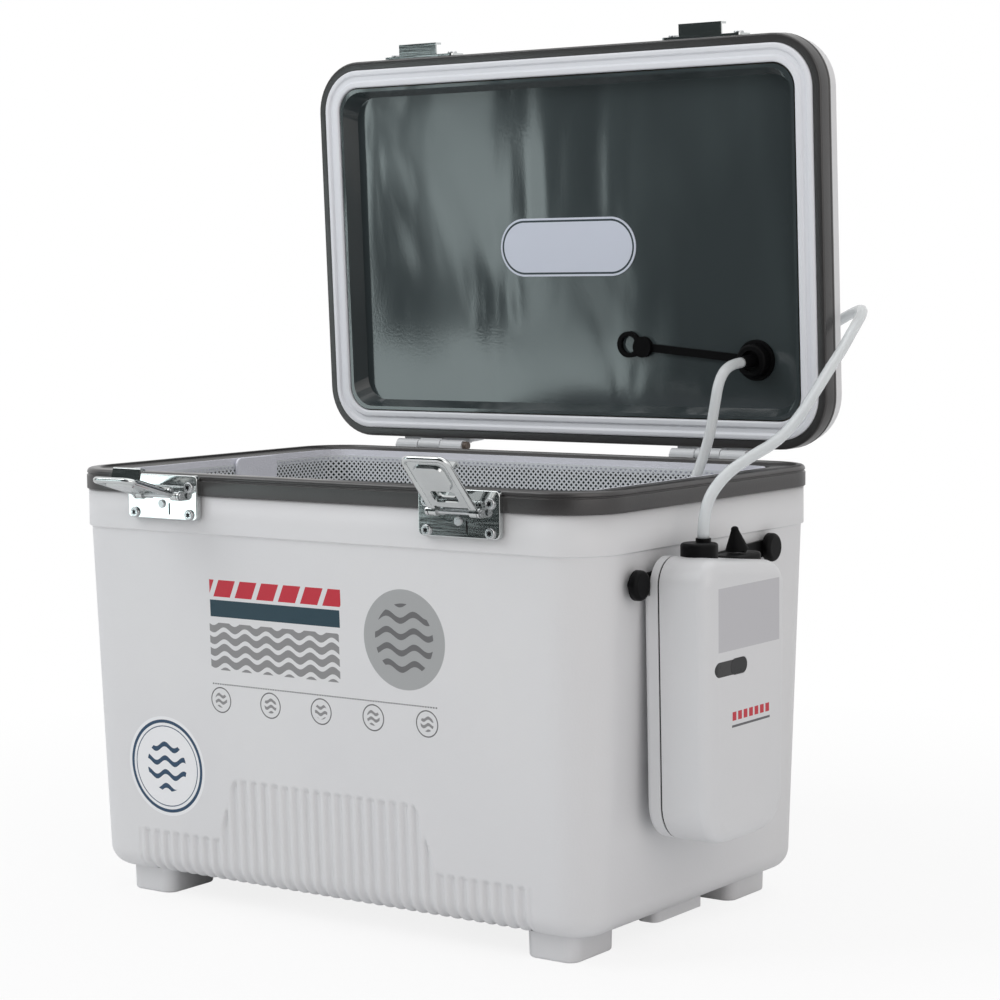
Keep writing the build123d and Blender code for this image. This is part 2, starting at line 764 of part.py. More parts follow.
gasket_seat = fit_gap - gasket_groove
gasket_inner = gasket_inset + gasket_width
with BuildPart() as lid_gasket:
    with BuildSketch(lid_face.offset(gasket_seat)):
        lid_outline(gasket_inset, outer_corner(gasket_inset))
    extrude(amount=gasket_proud - gasket_seat)
    fillet(lid_gasket.faces().sort_by(Axis(lid_origin, lid_out))[-1].edges(), gasket_round)
    with BuildSketch(lid_face.offset(gasket_seat)):
        lid_outline(gasket_inner, lid_liner_corner)
    extrude(amount=gasket_proud - gasket_seat, mode=Mode.SUBTRACT)
    # a shallow channel between its two sealing beads
    channel_outer = gasket_inset + gasket_bead
    channel_inner = gasket_inner - gasket_bead
    with BuildSketch(lid_face.offset(gasket_proud)):
        with Locations((0, lid_middle)):
            RectangleRounded(
                box_width - 2 * channel_outer,
                lid_depth - 2 * channel_outer,
                outer_corner(channel_outer),
            )
            RectangleRounded(
                box_width - 2 * channel_inner,
                lid_depth - 2 * channel_inner,
                lid_liner_corner + gasket_bead,
                mode=Mode.SUBTRACT,
            )
    extrude(amount=-gasket_channel, mode=Mode.SUBTRACT)
lid_gasket.part.label = "lid_gasket"
export_step(lid_gasket.part, "parts/lid_gasket.step")

# Lid shell: the white moulded cover, with a rounded top edge, open toward the box.
lid_top_inset = lid_shell_inset + lid_shell_draft
with BuildPart() as lid_shell:
    with BuildSketch(lid_face.offset(-lid_band_height - fit_gap)):
        lid_outline(lid_shell_inset, outer_corner(lid_shell_inset))
    with BuildSketch(lid_face.offset(-lid_height)):
        lid_outline(lid_top_inset, outer_corner(lid_top_inset))
    loft()
    fillet(lid_shell.faces().sort_by(Axis(lid_origin, lid_out))[0].edges(), lid_top_radius)
    with BuildSketch(lid_face.offset(-lid_band_height - fit_gap)):
        lid_outline(lid_shell_inset + skin, outer_corner(lid_shell_inset + skin))
    with BuildSketch(lid_face.offset(skin - lid_height)):
        lid_outline(lid_top_inset + skin, outer_corner(lid_top_inset + skin))
    loft(mode=Mode.SUBTRACT)
    with BuildSketch(lid_face):
        with Locations((grommet_x, grommet_rise)):
            Circle(grommet_body_radius + fit_gap)
    extrude(amount=-2 * lid_height, mode=Mode.SUBTRACT)
lid_shell.part.label = "lid_shell"
export_step(lid_shell.part, "parts/lid_shell.step")

# Lid liner: the slate pan that shows when the lid is open.
pan_back = lid_liner_depth + liner_sheet
with BuildPart() as lid_liner:
    for grow, back, mode in ((0, pan_back, Mode.ADD), (liner_sheet, lid_liner_depth, Mode.SUBTRACT)):
        with BuildSketch(lid_face):
            lid_outline(lid_liner_inset - fit_gap + grow, lid_liner_corner)
        with BuildSketch(lid_face.offset(-back)):
            lid_outline(lid_liner_inset + lid_liner_taper + grow, lid_liner_corner)
        loft(mode=mode)
    with BuildSketch(lid_face):
        with Locations((grommet_x, grommet_rise)):
            Circle(grommet_body_radius + fit_gap)
        with Locations((plug_x, plug_rise)):
            Circle(plug_radius + fit_gap)
    extrude(amount=-lid_height, mode=Mode.SUBTRACT)
lid_liner.part.label = "lid_liner"
export_step(lid_liner.part, "parts/lid_liner.step")

with BuildPart() as lid_foam:
    with BuildSketch(lid_face.offset(-pan_back - fit_gap)):
        lid_outline(lid_shell_inset + foam_skin, outer_corner(lid_shell_inset + foam_skin))
    with BuildSketch(lid_face.offset(foam_skin - lid_height)):
        lid_outline(lid_top_inset + foam_skin, outer_corner(lid_top_inset + foam_skin))
    loft()
    chamfer(lid_foam.faces().sort_by(Axis(lid_origin, lid_out))[0].edges(), lid_top_radius - foam_skin)
    with BuildSketch(lid_face):
        with Locations((grommet_x, grommet_rise)):
            Circle(grommet_body_radius + fit_gap)
        with Locations((plug_x, plug_rise)):
            Circle(plug_radius + fit_gap)
    extrude(amount=-lid_height, mode=Mode.SUBTRACT)
lid_foam.part.label = "lid_foam"
export_step(lid_foam.part, "parts/lid_foam.step")

with BuildPart() as lid_label:
    with BuildSketch(lid_face.offset(-lid_liner_depth)):
        with Locations((0, label_rise)):
            SlotOverall(lid_label_width, lid_label_height)
    extrude(amount=lid_label_thick)
lid_label.part.label = "lid_label"
export_step(lid_label.part, "parts/lid_label.step")

# Grommet: a flanged rubber bush right through the lid, with the hose connector in it.
grommet_plane = Plane(
    origin=lid_face.from_local_coords((grommet_x, grommet_rise, 0)),
    x_dir=(1, 0, 0),
    z_dir=lid_out,
)
flange_face = grommet_stand - lid_liner_depth
with BuildPart() as lid_grommet:
    for start, length, radius in (
        (-lid_liner_depth, grommet_stand, grommet_radius),
        (-lid_height - grommet_flange, lid_height + grommet_flange - lid_liner_depth, grommet_body_radius),
        (-lid_height - grommet_flange, grommet_flange, grommet_radius),
    ):
        with BuildSketch(grommet_plane.offset(start)):
            Circle(radius)
        extrude(amount=length)
    fillet(lid_grommet.edges().filter_by(GeomType.CIRCLE).sort_by(Axis(lid_origin, lid_out))[-1], grommet_round)
    with BuildSketch(grommet_plane.offset(flange_face)):
        Circle(grommet_cup_radius)
    extrude(amount=-grommet_cup_depth, mode=Mode.SUBTRACT)
    with BuildSketch(grommet_plane.offset(flange_face)):
        Circle(connector_radius + fit_gap / 2)
    extrude(amount=-2 * lid_height, mode=Mode.SUBTRACT)
lid_grommet.part.label = "lid_grommet"
export_step(lid_grommet.part, "parts/lid_grommet.step")

connector_inner = flange_face + connector_reach
connector_outer = -lid_height - grommet_flange - connector_outer_reach
with BuildPart() as hose_connector:
    with BuildSketch(grommet_plane.offset(connector_outer)):
        Circle(connector_radius)
        Circle(nozzle_bore, mode=Mode.SUBTRACT)
    extrude(amount=connector_inner - connector_outer)
hose_connector.part.label = "hose_connector"
export_step(hose_connector.part, "parts/hose_connector.step")

# Vent plug on its tether: a plug pushed into the pan, a pull ring, and a strap to the grommet.
with BuildPart() as vent_plug:
    with BuildSketch(lid_face.offset(-pan_back)):
        with Locations((plug_x, plug_rise)):
            Circle(plug_radius)
    extrude(amount=liner_sheet + tether_thick + plug_stand)
    with BuildSketch(lid_face.offset(-lid_liner_depth)):
        with Locations((plug_x, plug_rise)):
            Circle(plug_radius + plug_rim)
    extrude(amount=tether_thick + plug_stand)
    # pull ring, lying on the pan
    with BuildSketch(lid_face.offset(-lid_liner_depth)):
        with Locations((ring_x, ring_rise)):
            Circle(ring_radius)
            Circle(ring_radius - 2 * ring_wire, mode=Mode.SUBTRACT)
    extrude(amount=2 * ring_wire)
    # strap, from the plug to a collar round the grommet
    tether_run = Vector(grommet_x - plug_x, grommet_rise - plug_rise)
    tether_angle = degrees(atan(tether_run.Y / tether_run.X))
    with BuildSketch(lid_face.offset(-lid_liner_depth)):
        with Locations(Location((plug_x + tether_run.X / 2, plug_rise + tether_run.Y / 2, 0), tether_angle)):
            Rectangle(tether_run.length, tether_width)
        with Locations((grommet_x, grommet_rise)):
            Circle(grommet_radius + tether_collar)
            Circle(grommet_radius + fit_gap, mode=Mode.SUBTRACT)
    extrude(amount=tether_thick)
vent_plug.part.label = "vent_plug"
export_step(vent_plug.part, "parts/vent_plug.step")

# ---------------------------------------------------------------- keepers
# the lid's front edge: x to the right, y into the lid, z off its edge
keeper_seat = Plane(origin=lid_origin + lid_up * lid_depth, x_dir=(1, 0, 0), z_dir=lid_up)
keeper_screw_back = keeper_from_face + keeper_base_height / 2
for side, sign in sides.items():
    with BuildPart() as keeper:
        # base plate on the lid's front edge, then the J-shaped hook
        with BuildSketch(lid_edge.offset(sign * latch_x)):
            with Locations((lid_depth + keeper_sheet / 2, -keeper_from_face - keeper_base_height / 2)):
                Rectangle(keeper_sheet, keeper_base_height)
        extrude(amount=keeper_base_width / 2, both=True)
        fillet(keeper.edges().filter_by(Axis(lid_origin, lid_up)), keeper_corner)
        with BuildSketch(lid_edge.offset(sign * latch_x)):
            with BuildLine():
                hook_end = lid_depth + keeper_reach
                Polyline(
                    (lid_depth, -keeper_from_face),
                    (hook_end, -keeper_from_face),
                    (hook_end, -keeper_from_face - keeper_lip),
                    (hook_end - keeper_sheet, -keeper_from_face - keeper_lip),
                    (hook_end - keeper_sheet, -keeper_from_face - keeper_sheet),
                    (lid_depth, -keeper_from_face - keeper_sheet),
                    close=True,
                )
            make_face()
        extrude(amount=keeper_hook_width / 2, both=True)
        for screw in (-keeper_screw_x, keeper_screw_x):
            with BuildSketch(keeper_seat):
                with Locations((sign * latch_x + screw, keeper_screw_back)):
                    Circle(screw_radius + fit_gap)
            extrude(amount=keeper_sheet, mode=Mode.SUBTRACT)
    keeper.part.label = side + "_keeper"
    export_step(keeper.part, "parts/" + side + "_keeper.step")

keeper_spots = [
    (sign * latch_x + spot, keeper_screw_back)
    for sign in sides.values()
    for spot in (-keeper_screw_x, keeper_screw_x)
]
with BuildPart() as keeper_screws:
    for radius, length in ((screw_head_radius, screw_head_height), (screw_radius, -keeper_sheet)):
        with BuildSketch(keeper_seat.offset(keeper_sheet)):
            with Locations(*keeper_spots):
                Circle(radius)
        extrude(amount=length)
    heads = keeper_screws.edges().filter_by(GeomType.CIRCLE).group_by(Axis(lid_origin, lid_up))[-1]
    fillet(heads, screw_head_height / 2)
keeper_screws.part.label = "keeper_screws"
export_step(keeper_screws.part, "parts/keeper_screws.step")

# ---------------------------------------------------------------- hinges
# the lid's rear edge: x to the left, y into the lid, z away from the lid
lid_rear_seat = Plane(origin=lid_origin - lid_up * fit_gap, x_dir=(-1, 0, 0), z_dir=lid_up * -1)
lid_leaf_screw = axis_over_seat + lid_leaf_neck + (lid_leaf_length - lid_leaf_neck) / 2
leaf_screw_height = (rim_top - leaf_drop + rim_bottom) / 2
hinge_places = [sign * hinge_x for sign in sides.values()]
middle_half = hinge_length / 6
leaf_back = half_depth + fit_gap
leaf_low = rim_top - leaf_drop
leaf_high = hinge_z - knuckle_radius - run_gap
leaf_screw_x = [place + spot * hinge_screw_spacing / 2 for place in hinge_places for spot in (-1, 1)]
body_leaf_spots = [(x, leaf_screw_height) for x in leaf_screw_x]
lid_leaf_spots = [(x, lid_leaf_screw) for x in leaf_screw_x]
with BuildPart() as hinge_body_leaves:
    for place in hinge_places:
        with BuildSketch(Plane.YZ.offset(place)):
            with Locations((leaf_back + leaf_thick / 2, (leaf_low + leaf_high) / 2)):
                Rectangle(leaf_thick, leaf_high - leaf_low)
        extrude(amount=hinge_length / 2, both=True)
        for edge in (-1, 1):
            with BuildSketch(Plane.YZ.offset(place + edge * (hinge_length / 4 + (middle_half + run_gap) / 2))):
                with Locations((leaf_back + leaf_thick / 2, (leaf_low + hinge_z) / 2)):
                    Rectangle(leaf_thick, hinge_z - leaf_low)
                with Locations((hinge_y, hinge_z)):
                    Circle(knuckle_radius)
            extrude(amount=hinge_length / 4 - (middle_half + run_gap) / 2, both=True)
        with BuildSketch(Plane.YZ.offset(place)):
            with Locations((hinge_y, hinge_z)):
                Circle(hinge_pin_radius + pin_gap)
        extrude(amount=hinge_length, both=True, mode=Mode.SUBTRACT)
    with BuildSketch(Plane.XZ.offset(-leaf_back)):
        with Locations(*body_leaf_spots):
            Circle(screw_radius + fit_gap)
    extrude(amount=-leaf_thick, mode=Mode.SUBTRACT)
hinge_body_leaves.part.label = "hinge_body_leaves"
export_step(hinge_body_leaves.part, "parts/hinge_body_leaves.step")

with BuildPart() as hinge_lid_leaves:
    for place in hinge_places:
        side_plane = lid_edge.offset(place)
        with BuildSketch(side_plane):
            with Locations((-fit_gap - leaf_thick / 2, -axis_over_seat - lid_leaf_length / 2)):
                Rectangle(leaf_thick, lid_leaf_length)
            with Locations((-hinge_axis_back, -axis_over_seat)):
                Circle(knuckle_radius)
        extrude(amount=middle_half - run_gap / 2, both=True)
        # the leaf widens away from the knuckle
        with BuildSketch(side_plane):
            with Locations((-fit_gap - leaf_thick / 2, -axis_over_seat - (lid_leaf_length + lid_leaf_neck) / 2)):
                Rectangle(leaf_thick, lid_leaf_length - lid_leaf_neck)
        extrude(amount=hinge_length / 2, both=True)
        with BuildSketch(side_plane):
            with Locations((-hinge_axis_back, -axis_over_seat)):
                Circle(hinge_pin_radius + pin_gap)
        extrude(amount=hinge_length, both=True, mode=Mode.SUBTRACT)
    with BuildSketch(lid_rear_seat):
        with Locations(*lid_leaf_spots):
            Circle(screw_radius + fit_gap)
    extrude(amount=leaf_thick, mode=Mode.SUBTRACT)
hinge_lid_leaves.part.label = "hinge_lid_leaves"
export_step(hinge_lid_leaves.part, "parts/hinge_lid_leaves.step")

with BuildPart() as hinge_pins:
    for place in hinge_places:
        with BuildSketch(Plane.YZ.offset(place)):
            with Locations((hinge_y, hinge_z)):
                Circle(hinge_pin_radius)
        extrude(amount=hinge_length / 2 + fit_gap, both=True)
        with BuildSketch(Plane.YZ.offset(place + hinge_length / 2 + fit_gap)):
            with Locations((hinge_y, hinge_z)):
                Circle(hinge_pin_head)
        extrude(amount=hinge_pin_stand)
hinge_pins.part.label = "hinge_pins"
export_step(hinge_pins.part, "parts/hinge_pins.step")

with BuildPart() as hinge_body_screws:
    for radius, length in ((screw_head_radius, -screw_head_height), (screw_radius, leaf_thick)):
        with BuildSketch(Plane.XZ.offset(-leaf_back - leaf_thick)):
            with Locations(*body_leaf_spots):
                Circle(radius)
        extrude(amount=length)
    heads = hinge_body_screws.edges().filter_by(GeomType.CIRCLE).group_by(Axis.Y)[-1]
    fillet(heads, screw_head_height / 2)
hinge_body_screws.part.label = "hinge_body_screws"
export_step(hinge_body_screws.part, "parts/hinge_body_screws.step")

with BuildPart() as hinge_lid_screws:
    for radius, length in ((screw_head_radius, screw_head_height), (screw_radius, -leaf_thick)):
        with BuildSketch(lid_rear_seat.offset(leaf_thick)):
            with Locations(*lid_leaf_spots):
                Circle(radius)
        extrude(amount=length)
    heads = hinge_lid_screws.edges().filter_by(GeomType.CIRCLE).group_by(Axis(lid_origin, lid_up))[0]
    fillet(heads, screw_head_height / 2)
hinge_lid_screws.part.label = "hinge_lid_screws"
export_step(hinge_lid_screws.part, "parts/hinge_lid_screws.step")

# ---------------------------------------------------------------- pump
def pump_shape(inset=0.0):
    """The pump's outline seen from the right, inside its edge by the inset."""
    low = pump_low + pump_low_bulge + inset
    low_front = (pump_front + pump_low_taper + inset, low)
    low_rear = (pump_rear - pump_low_taper - inset, low)
    high_rear = (pump_rear - inset, pump_high_rear - inset)
    high_front = (pump_front + inset, pump_high_front - inset)
    with BuildSketch() as outline:
        with BuildLine():
            ThreePointArc(low_front, ((pump_front + pump_rear) / 2, pump_low + inset), low_rear)
            Line(low_rear, high_rear)
            Line(high_rear, high_front)
            Line(high_front, low_front)
        make_face()
        by_height = outline.vertices().sort_by(Axis.Y)
        fillet(by_height[:2], pump_low_radius - inset)
        fillet(outline.vertices().filter_by(lambda point: point.Y > relief_low), pump_high_radius - inset)
    return outline.sketch


seam = pump_back + pump_split
front_start = seam + pump_seal_thick
outlet_x = pump_back + outlet_out
outlet_y = pump_front + outlet_along
outlet_low = pump_high_front - outlet_seat
outlet_high = pump_high_front + outlet_rise
nozzle_y = pump_front + nozzle_along
nozzle_high = outlet_high + nozzle_length
switch_x = pump_back + switch_out
switch_y = pump_rear - switch_along
switch_base_low = pump_high_front - switch_seat
switch_base_high = pump_high_front - switch_base_drop
window_y = pump_front + window_along

# Rear case: shallow, hollow below the strap and stepped in behind it.
with BuildPart() as pump_rear_case:
    with BuildSketch(Plane.YZ.offset(pump_back)):
        add(pump_shape())
    extrude(amount=pump_split)
    fillet(pump_rear_case.faces().sort_by(Axis.X)[0].edges(), pump_back_radius)
    with BuildSketch(Plane.YZ.offset(pump_back)):
        with Locations((0, relief_low)):
            Rectangle(2 * pump_high_front, pump_high_front, align=(Align.CENTER, Align.MIN))
    extrude(amount=relief_depth, mode=Mode.SUBTRACT)
    with BuildSketch(Plane.YZ.offset(pump_back + pump_skin)):
        add(pump_shape(pump_skin))
        with Locations((0, relief_low - pump_skin)):
            Rectangle(2 * pump_high_front, pump_high_front, align=(Align.CENTER, Align.MIN), mode=Mode.SUBTRACT)
    extrude(amount=pump_split, mode=Mode.SUBTRACT)
pump_rear_case.part.label = "pump_rear_case"
export_step(pump_rear_case.part, "parts/pump_rear_case.step")

# Seal in the seam, set in a little from the case.
with BuildPart() as pump_seal:
    with BuildSketch(Plane.YZ.offset(seam)):
        add(pump_shape(pump_seal_inset))
        add(pump_shape(pump_skin), mode=Mode.SUBTRACT)
    extrude(amount=pump_seal_thick)
pump_seal.part.label = "pump_seal"
export_step(pump_seal.part, "parts/pump_seal.step")

# Front case: deep, with a round bite for the outlet and a slot for the switch.
switch_middle = (switch_x, switch_y)
with BuildPart() as pump_front_case:
    with BuildSketch(Plane.YZ.offset(front_start)):
        add(pump_shape())
    extrude(amount=pump_face - front_start)
    with BuildSketch(Plane.YZ.offset(front_start)):
        add(pump_shape(pump_skin))
    extrude(amount=pump_face - front_start - pump_skin, mode=Mode.SUBTRACT)
    inner_face = pump_front_case.faces().filter_by(Plane.YZ).sort_by(Axis.X)[-2]
    fillet(inner_face.edges(), pump_front_radius - pump_skin)
    fillet(pump_front_case.faces().sort_by(Axis.X)[-1].edges(), pump_front_radius)
    with BuildSketch(Plane.XY.offset(outlet_low)):
        with Locations((outlet_x, outlet_y)):
            Circle(outlet_radius + fit_gap)
    extrude(amount=pump_high_front - outlet_low, mode=Mode.SUBTRACT)
    with BuildSketch(Plane.XY.offset(switch_base_low)):
        with Locations(switch_middle):
            SlotOverall(switch_base_length + 2 * fit_gap, switch_base_width + 2 * fit_gap, rotation=90)
    extrude(amount=pump_high_front - switch_base_low, mode=Mode.SUBTRACT)
    with BuildSketch(Plane.YZ.offset(pump_face)):
        with Locations((window_y, motor_height)):
            SlotOverall(window_length + 2 * fit_gap, window_height + 2 * fit_gap)
    extrude(amount=-window_depth, mode=Mode.SUBTRACT)
pump_front_case.part.label = "pump_front_case"
export_step(pump_front_case.part, "parts/pump_front_case.step")

with BuildPart() as power_window:
    with BuildSketch(Plane.YZ.offset(pump_face - window_depth)):
        with Locations((window_y, motor_height)):
            SlotOverall(window_length, window_height)
    extrude(amount=window_depth)
power_window.part.label = "power_window"
export_step(power_window.part, "parts/power_window.step")

# Outlet: a black boss with the hose's barb.
with BuildPart() as pump_outlet:
    with BuildSketch(Plane.XY.offset(outlet_low)):
        with Locations((outlet_x, outlet_y)):
            Circle(outlet_radius)
    extrude(amount=outlet_high - outlet_low)
    fillet(pump_outlet.edges().filter_by(GeomType.CIRCLE).sort_by(Axis.Z)[-1], outlet_round)
    with BuildSketch(Plane.XY.offset(outlet_high)):
        with Locations((outlet_x, nozzle_y)):
            Circle(nozzle_radius)
    extrude(amount=nozzle_high - outlet_high)
    with BuildSketch(Plane.XY.offset(nozzle_high)):
        with Locations((outlet_x, nozzle_y)):
            Circle(nozzle_bore)
    extrude(amount=outlet_low - nozzle_high, mode=Mode.SUBTRACT)
pump_outlet.part.label = "pump_outlet"
export_step(pump_outlet.part, "parts/pump_outlet.step")

with BuildPart() as pump_switch_base:
    with BuildSketch(Plane.XY.offset(switch_base_low)):
        with Locations(switch_middle):
            SlotOverall(switch_base_length, switch_base_width, rotation=90)
    extrude(amount=switch_base_high - switch_base_low)
    fillet(pump_switch_base.faces().sort_by(Axis.Z)[-1].edges(), outlet_round)
pump_switch_base.part.label = "pump_switch_base"
export_step(pump_switch_base.part, "parts/pump_switch_base.step")

# Switch: a toggle under a conical rubber boot, leaning to the front when off.
switch_pivot = switch_base_high + run_gap + boot_swing
boot_axis = Plane(
    origin=(switch_x, switch_y, switch_pivot),
    x_dir=(1, 0, 0),
    z_dir=(0, -sin(radians(boot_lean)), cos(radians(boot_lean))),
)
with BuildPart() as switch_boot:
    with BuildSketch(boot_axis):
        Circle(boot_radius)
    with BuildSketch(boot_axis.offset(boot_height - boot_swing - boot_tip_radius)):
        Circle(boot_tip_radius)
    loft()
    with BuildSketch(boot_axis.offset(boot_height - boot_swing - boot_tip_radius)):
        Circle(boot_tip_radius)
    extrude(amount=boot_tip_radius)
    fillet(switch_boot.faces().sort_by(Axis.Z)[-1].edges(), boot_tip_radius * 0.8)
    # round pivot of the toggle
    with BuildSketch(Plane.YZ.offset(switch_x)):
        with Locations((switch_y, switch_pivot)):
            Circle(boot_swing)
    extrude(amount=toggle_half, both=True)
switch_boot.part.label = "switch_boot"
export_step(switch_boot.part, "parts/switch_boot.step")

# Inside: two cells side by side, a motor and a diaphragm pump above them.
inner_wall = pump_face - pump_skin - fit_gap
cell_x = inner_wall - cell_radius
cell_spread = 2 * cell_radius + fit_gap
cell_middle = (pump_front + pump_rear) / 2
cell_low = pump_low + cell_rise
motor_start = pump_rear - motor_along
diaphragm_y = pump_front + diaphragm_along
with BuildPart() as pump_batteries:
    with BuildSketch(Plane.XY.offset(cell_low)):
        with Locations((cell_x, cell_middle)):
            with GridLocations(0, cell_spread, 1, 2):
                Circle(cell_radius)
    extrude(amount=cell_length)
    with BuildSketch(Plane.XY.offset(cell_low + cell_length)):
        with Locations((cell_x, cell_middle)):
            with GridLocations(0, cell_spread, 1, 2):
                Circle(cell_button_radius)
    extrude(amount=cell_button_height)
pump_batteries.part.label = "pump_batteries"
export_step(pump_batteries.part, "parts/pump_batteries.step")

with BuildPart() as pump_motor:
    with BuildSketch(Plane.XZ.offset(-motor_start)):
        with Locations((inner_wall - motor_radius, motor_height)):
            Circle(motor_radius)
    extrude(amount=motor_length)
    with BuildSketch(Plane.XZ.offset(motor_length - motor_start)):
        with Locations((inner_wall - motor_radius, motor_height)):
            Circle(motor_shaft_radius)
    extrude(amount=motor_shaft_length)
pump_motor.part.label = "pump_motor"
export_step(pump_motor.part, "parts/pump_motor.step")

with BuildPart() as pump_diaphragm:
    with BuildSketch(Plane.XY.offset(motor_height - diaphragm_size / 2)):
        with Locations((inner_wall - diaphragm_size / 2, diaphragm_y)):
            RectangleRounded(diaphragm_size, diaphragm_size, diaphragm_size / 8)
    extrude(amount=diaphragm_size)
    # riser to the outlet
    with BuildSketch(Plane.XY.offset(motor_height + diaphragm_size / 2)):
        with Locations((outlet_x, nozzle_y)):
            Circle(nozzle_radius)
            Circle(nozzle_bore, mode=Mode.SUBTRACT)
    extrude(amount=outlet_low - fit_gap - motor_height - diaphragm_size / 2)
pump_diaphragm.part.label = "pump_diaphragm"
export_step(pump_diaphragm.part, "parts/pump_diaphragm.step")

# ---------------------------------------------------------------- pump hanger
def wall_x(height):
    """X of the box's right wall at a height."""
    return half_width - wall_inset(height)


knob_spots = [
    (pump_front - knob_front_out, step_height - knob_front_drop),
    (pump_rear + knob_rear_out, step_height - knob_rear_drop),
]
strap_back = step_x + strap_stand
strap_start = Vector(*knob_spots[0])
strap_end = Vector(*knob_spots[1])
strap_run = strap_end - strap_start
strap_middle = (strap_start + strap_end) * 0.5
strap_angle = degrees(atan(strap_run.Y / strap_run.X))
with BuildPart() as hanger_strap:
    with BuildSketch(Plane.YZ.offset(strap_back)):
        with Locations(Location((strap_middle.X, strap_middle.Y, 0), strap_angle)):
            SlotCenterToCenter(strap_run.length, strap_height)
        with Locations(*knob_spots):
            Circle(knob_stud_radius + fit_gap, mode=Mode.SUBTRACT)
    extrude(amount=strap_thick)
hanger_strap.part.label = "hanger_strap"
export_step(hanger_strap.part, "parts/hanger_strap.step")

with BuildPart() as strap_knobs:
    for y, z in knob_spots:
        with BuildSketch(Plane.YZ.offset(wall_x(z - knob_stud_radius) + fit_gap)):
            with Locations((y, z)):
                Circle(knob_stud_radius)
        extrude(amount=strap_back + strap_thick + fit_gap - wall_x(z - knob_stud_radius) - fit_gap)
        with BuildSketch(Plane.YZ.offset(strap_back + strap_thick + fit_gap)):
            with Locations((y, z)):
                Circle(knob_radius)
        extrude(amount=knob_thick)
    fillet(strap_knobs.edges().filter_by(GeomType.CIRCLE).group_by(Axis.X)[-1], knob_round)
strap_knobs.part.label = "strap_knobs"
export_step(strap_knobs.part, "parts/strap_knobs.step")

# Clip on the pump's back that hooks over the strap.
clip_y = (pump_front + pump_rear) / 2
clip_front = pump_back + relief_depth - fit_gap
clip_back = strap_back - fit_gap - clip_sheet
strap_height_at_clip = strap_start.Y + (clip_y - strap_start.X) * strap_run.Y / strap_run.X
clip_top = strap_height_at_clip + strap_height / 2 + clip_room
with BuildPart() as pump_clip:
    with BuildSketch(Plane.XZ.offset(-clip_y)):
        with BuildLine():
            Polyline(
                (clip_front, relief_low + fit_gap),
                (clip_front, clip_top + clip_sheet),
                (clip_back, clip_top + clip_sheet),
                (clip_back, clip_top - clip_length),
                (clip_back + clip_sheet, clip_top - clip_length),
                (clip_back + clip_sheet, clip_top),
                (clip_front - clip_sheet, clip_top),
                (clip_front - clip_sheet, relief_low + fit_gap),
                close=True,
            )
        make_face()
    extrude(amount=clip_width / 2, both=True)
pump_clip.part.label = "pump_clip"
export_step(pump_clip.part, "parts/pump_clip.step")

# ---------------------------------------------------------------- air hose
# The air stone stands on the net's floor. One length of hose runs from the pump to the
# connector in the lid, over the lid's right edge, and another from there to the stone.
stone_low = bag_floor + net_sheet + fit_gap
stone_top = stone_low + stone_length
with BuildPart() as air_stone:
    with BuildSketch(Plane.XY.offset(stone_low)):
        with Locations((stone_x, stone_y)):
            Circle(stone_radius)
    extrude(amount=stone_length)
    fillet(air_stone.edges().filter_by(GeomType.CIRCLE), stone_round)
    with BuildSketch(Plane.XY.offset(stone_top)):
        with Locations((stone_x, stone_y)):
            Circle(hose_radius)
    extrude(amount=stone_neck)
air_stone.part.label = "air_stone"
export_step(air_stone.part, "parts/air_stone.step")

outer_end = tuple(grommet_plane.from_local_coords((0, 0, connector_outer)))
outer_turn = tuple(grommet_plane.from_local_coords((0, 0, connector_outer - hose_outer_run)))
inner_end = tuple(grommet_plane.from_local_coords((0, 0, connector_inner)))
inner_turn = tuple(grommet_plane.from_local_coords((0, 0, connector_inner + hose_inner_run)))
outer_points = [
    (outlet_x, nozzle_y, nozzle_high),
    (outlet_x, nozzle_y, 229.0),
    (201.0, -34.0, 244.0),
    (206.0, -14.0, 253.0),
    (207.5, 10.0, 259.0),
    (207.0, 34.0, 270.0),
    (204.0, 58.0, 283.0),
    (199.0, 83.0, 294.0),
    (194.0, 107.0, 304.0),
    (189.0, 130.0, 315.0),
    (183.0, 152.0, 323.0),
    (172.0, 171.0, 325.0),
    (154.0, 182.0, 319.0),
    (136.0, 179.0, 308.0),
    outer_turn,
    outer_end,
]
inner_points = [
    inner_end,
    inner_turn,
    (127.3, 87.2, 286.8),
    (126.8, 83.2, 271.5),
    (125.0, 79.5, 252.0),
    (120.0, 72.0, 230.0),
    (113.0, 63.0, 203.0),
    (106.0, 54.0, 174.0),
    (99.0, 46.0, 145.0),
    (92.0, 37.0, 117.0),
    (stone_x, stone_y, 91.0),
    (stone_x, stone_y, stone_top + stone_neck),
]


def bend_radii(points):
    """Each corner's radius: as large as the shorter of its two runs allows."""
    spots = [Vector(*point) for point in points]
    radii = []
    for before, corner, after in zip(spots, spots[1:], spots[2:]):
        first = corner - before
        second = after - corner
        half_turn = radians(first.get_angle(second)) / 2
        radii.append(0.45 * min(first.length, second.length) / tan(half_turn))
    return radii


for name, points in (("outer_hose", outer_points), ("inner_hose", inner_points)):
    radii = bend_radii(points)
    with BuildPart() as hose:
        with BuildLine() as route:
            FilletPolyline(*points, radius=radii)
        with BuildSketch(route.line ^ 0):
            Circle(hose_radius)
        sweep(path=route.line)
    hose.part.label = name
    export_step(hose.part, "parts/" + name + ".step")
    full = pi * hose_radius**2 * route.wire().length
    print(name, "length", round(route.wire().length, 1), "volume share", round(hose.part.volume / full, 4))
    print(name, "bend radii", [round(radius) for radius in radii])
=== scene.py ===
import bpy
import json
import math
import numpy as np
from mathutils import Matrix


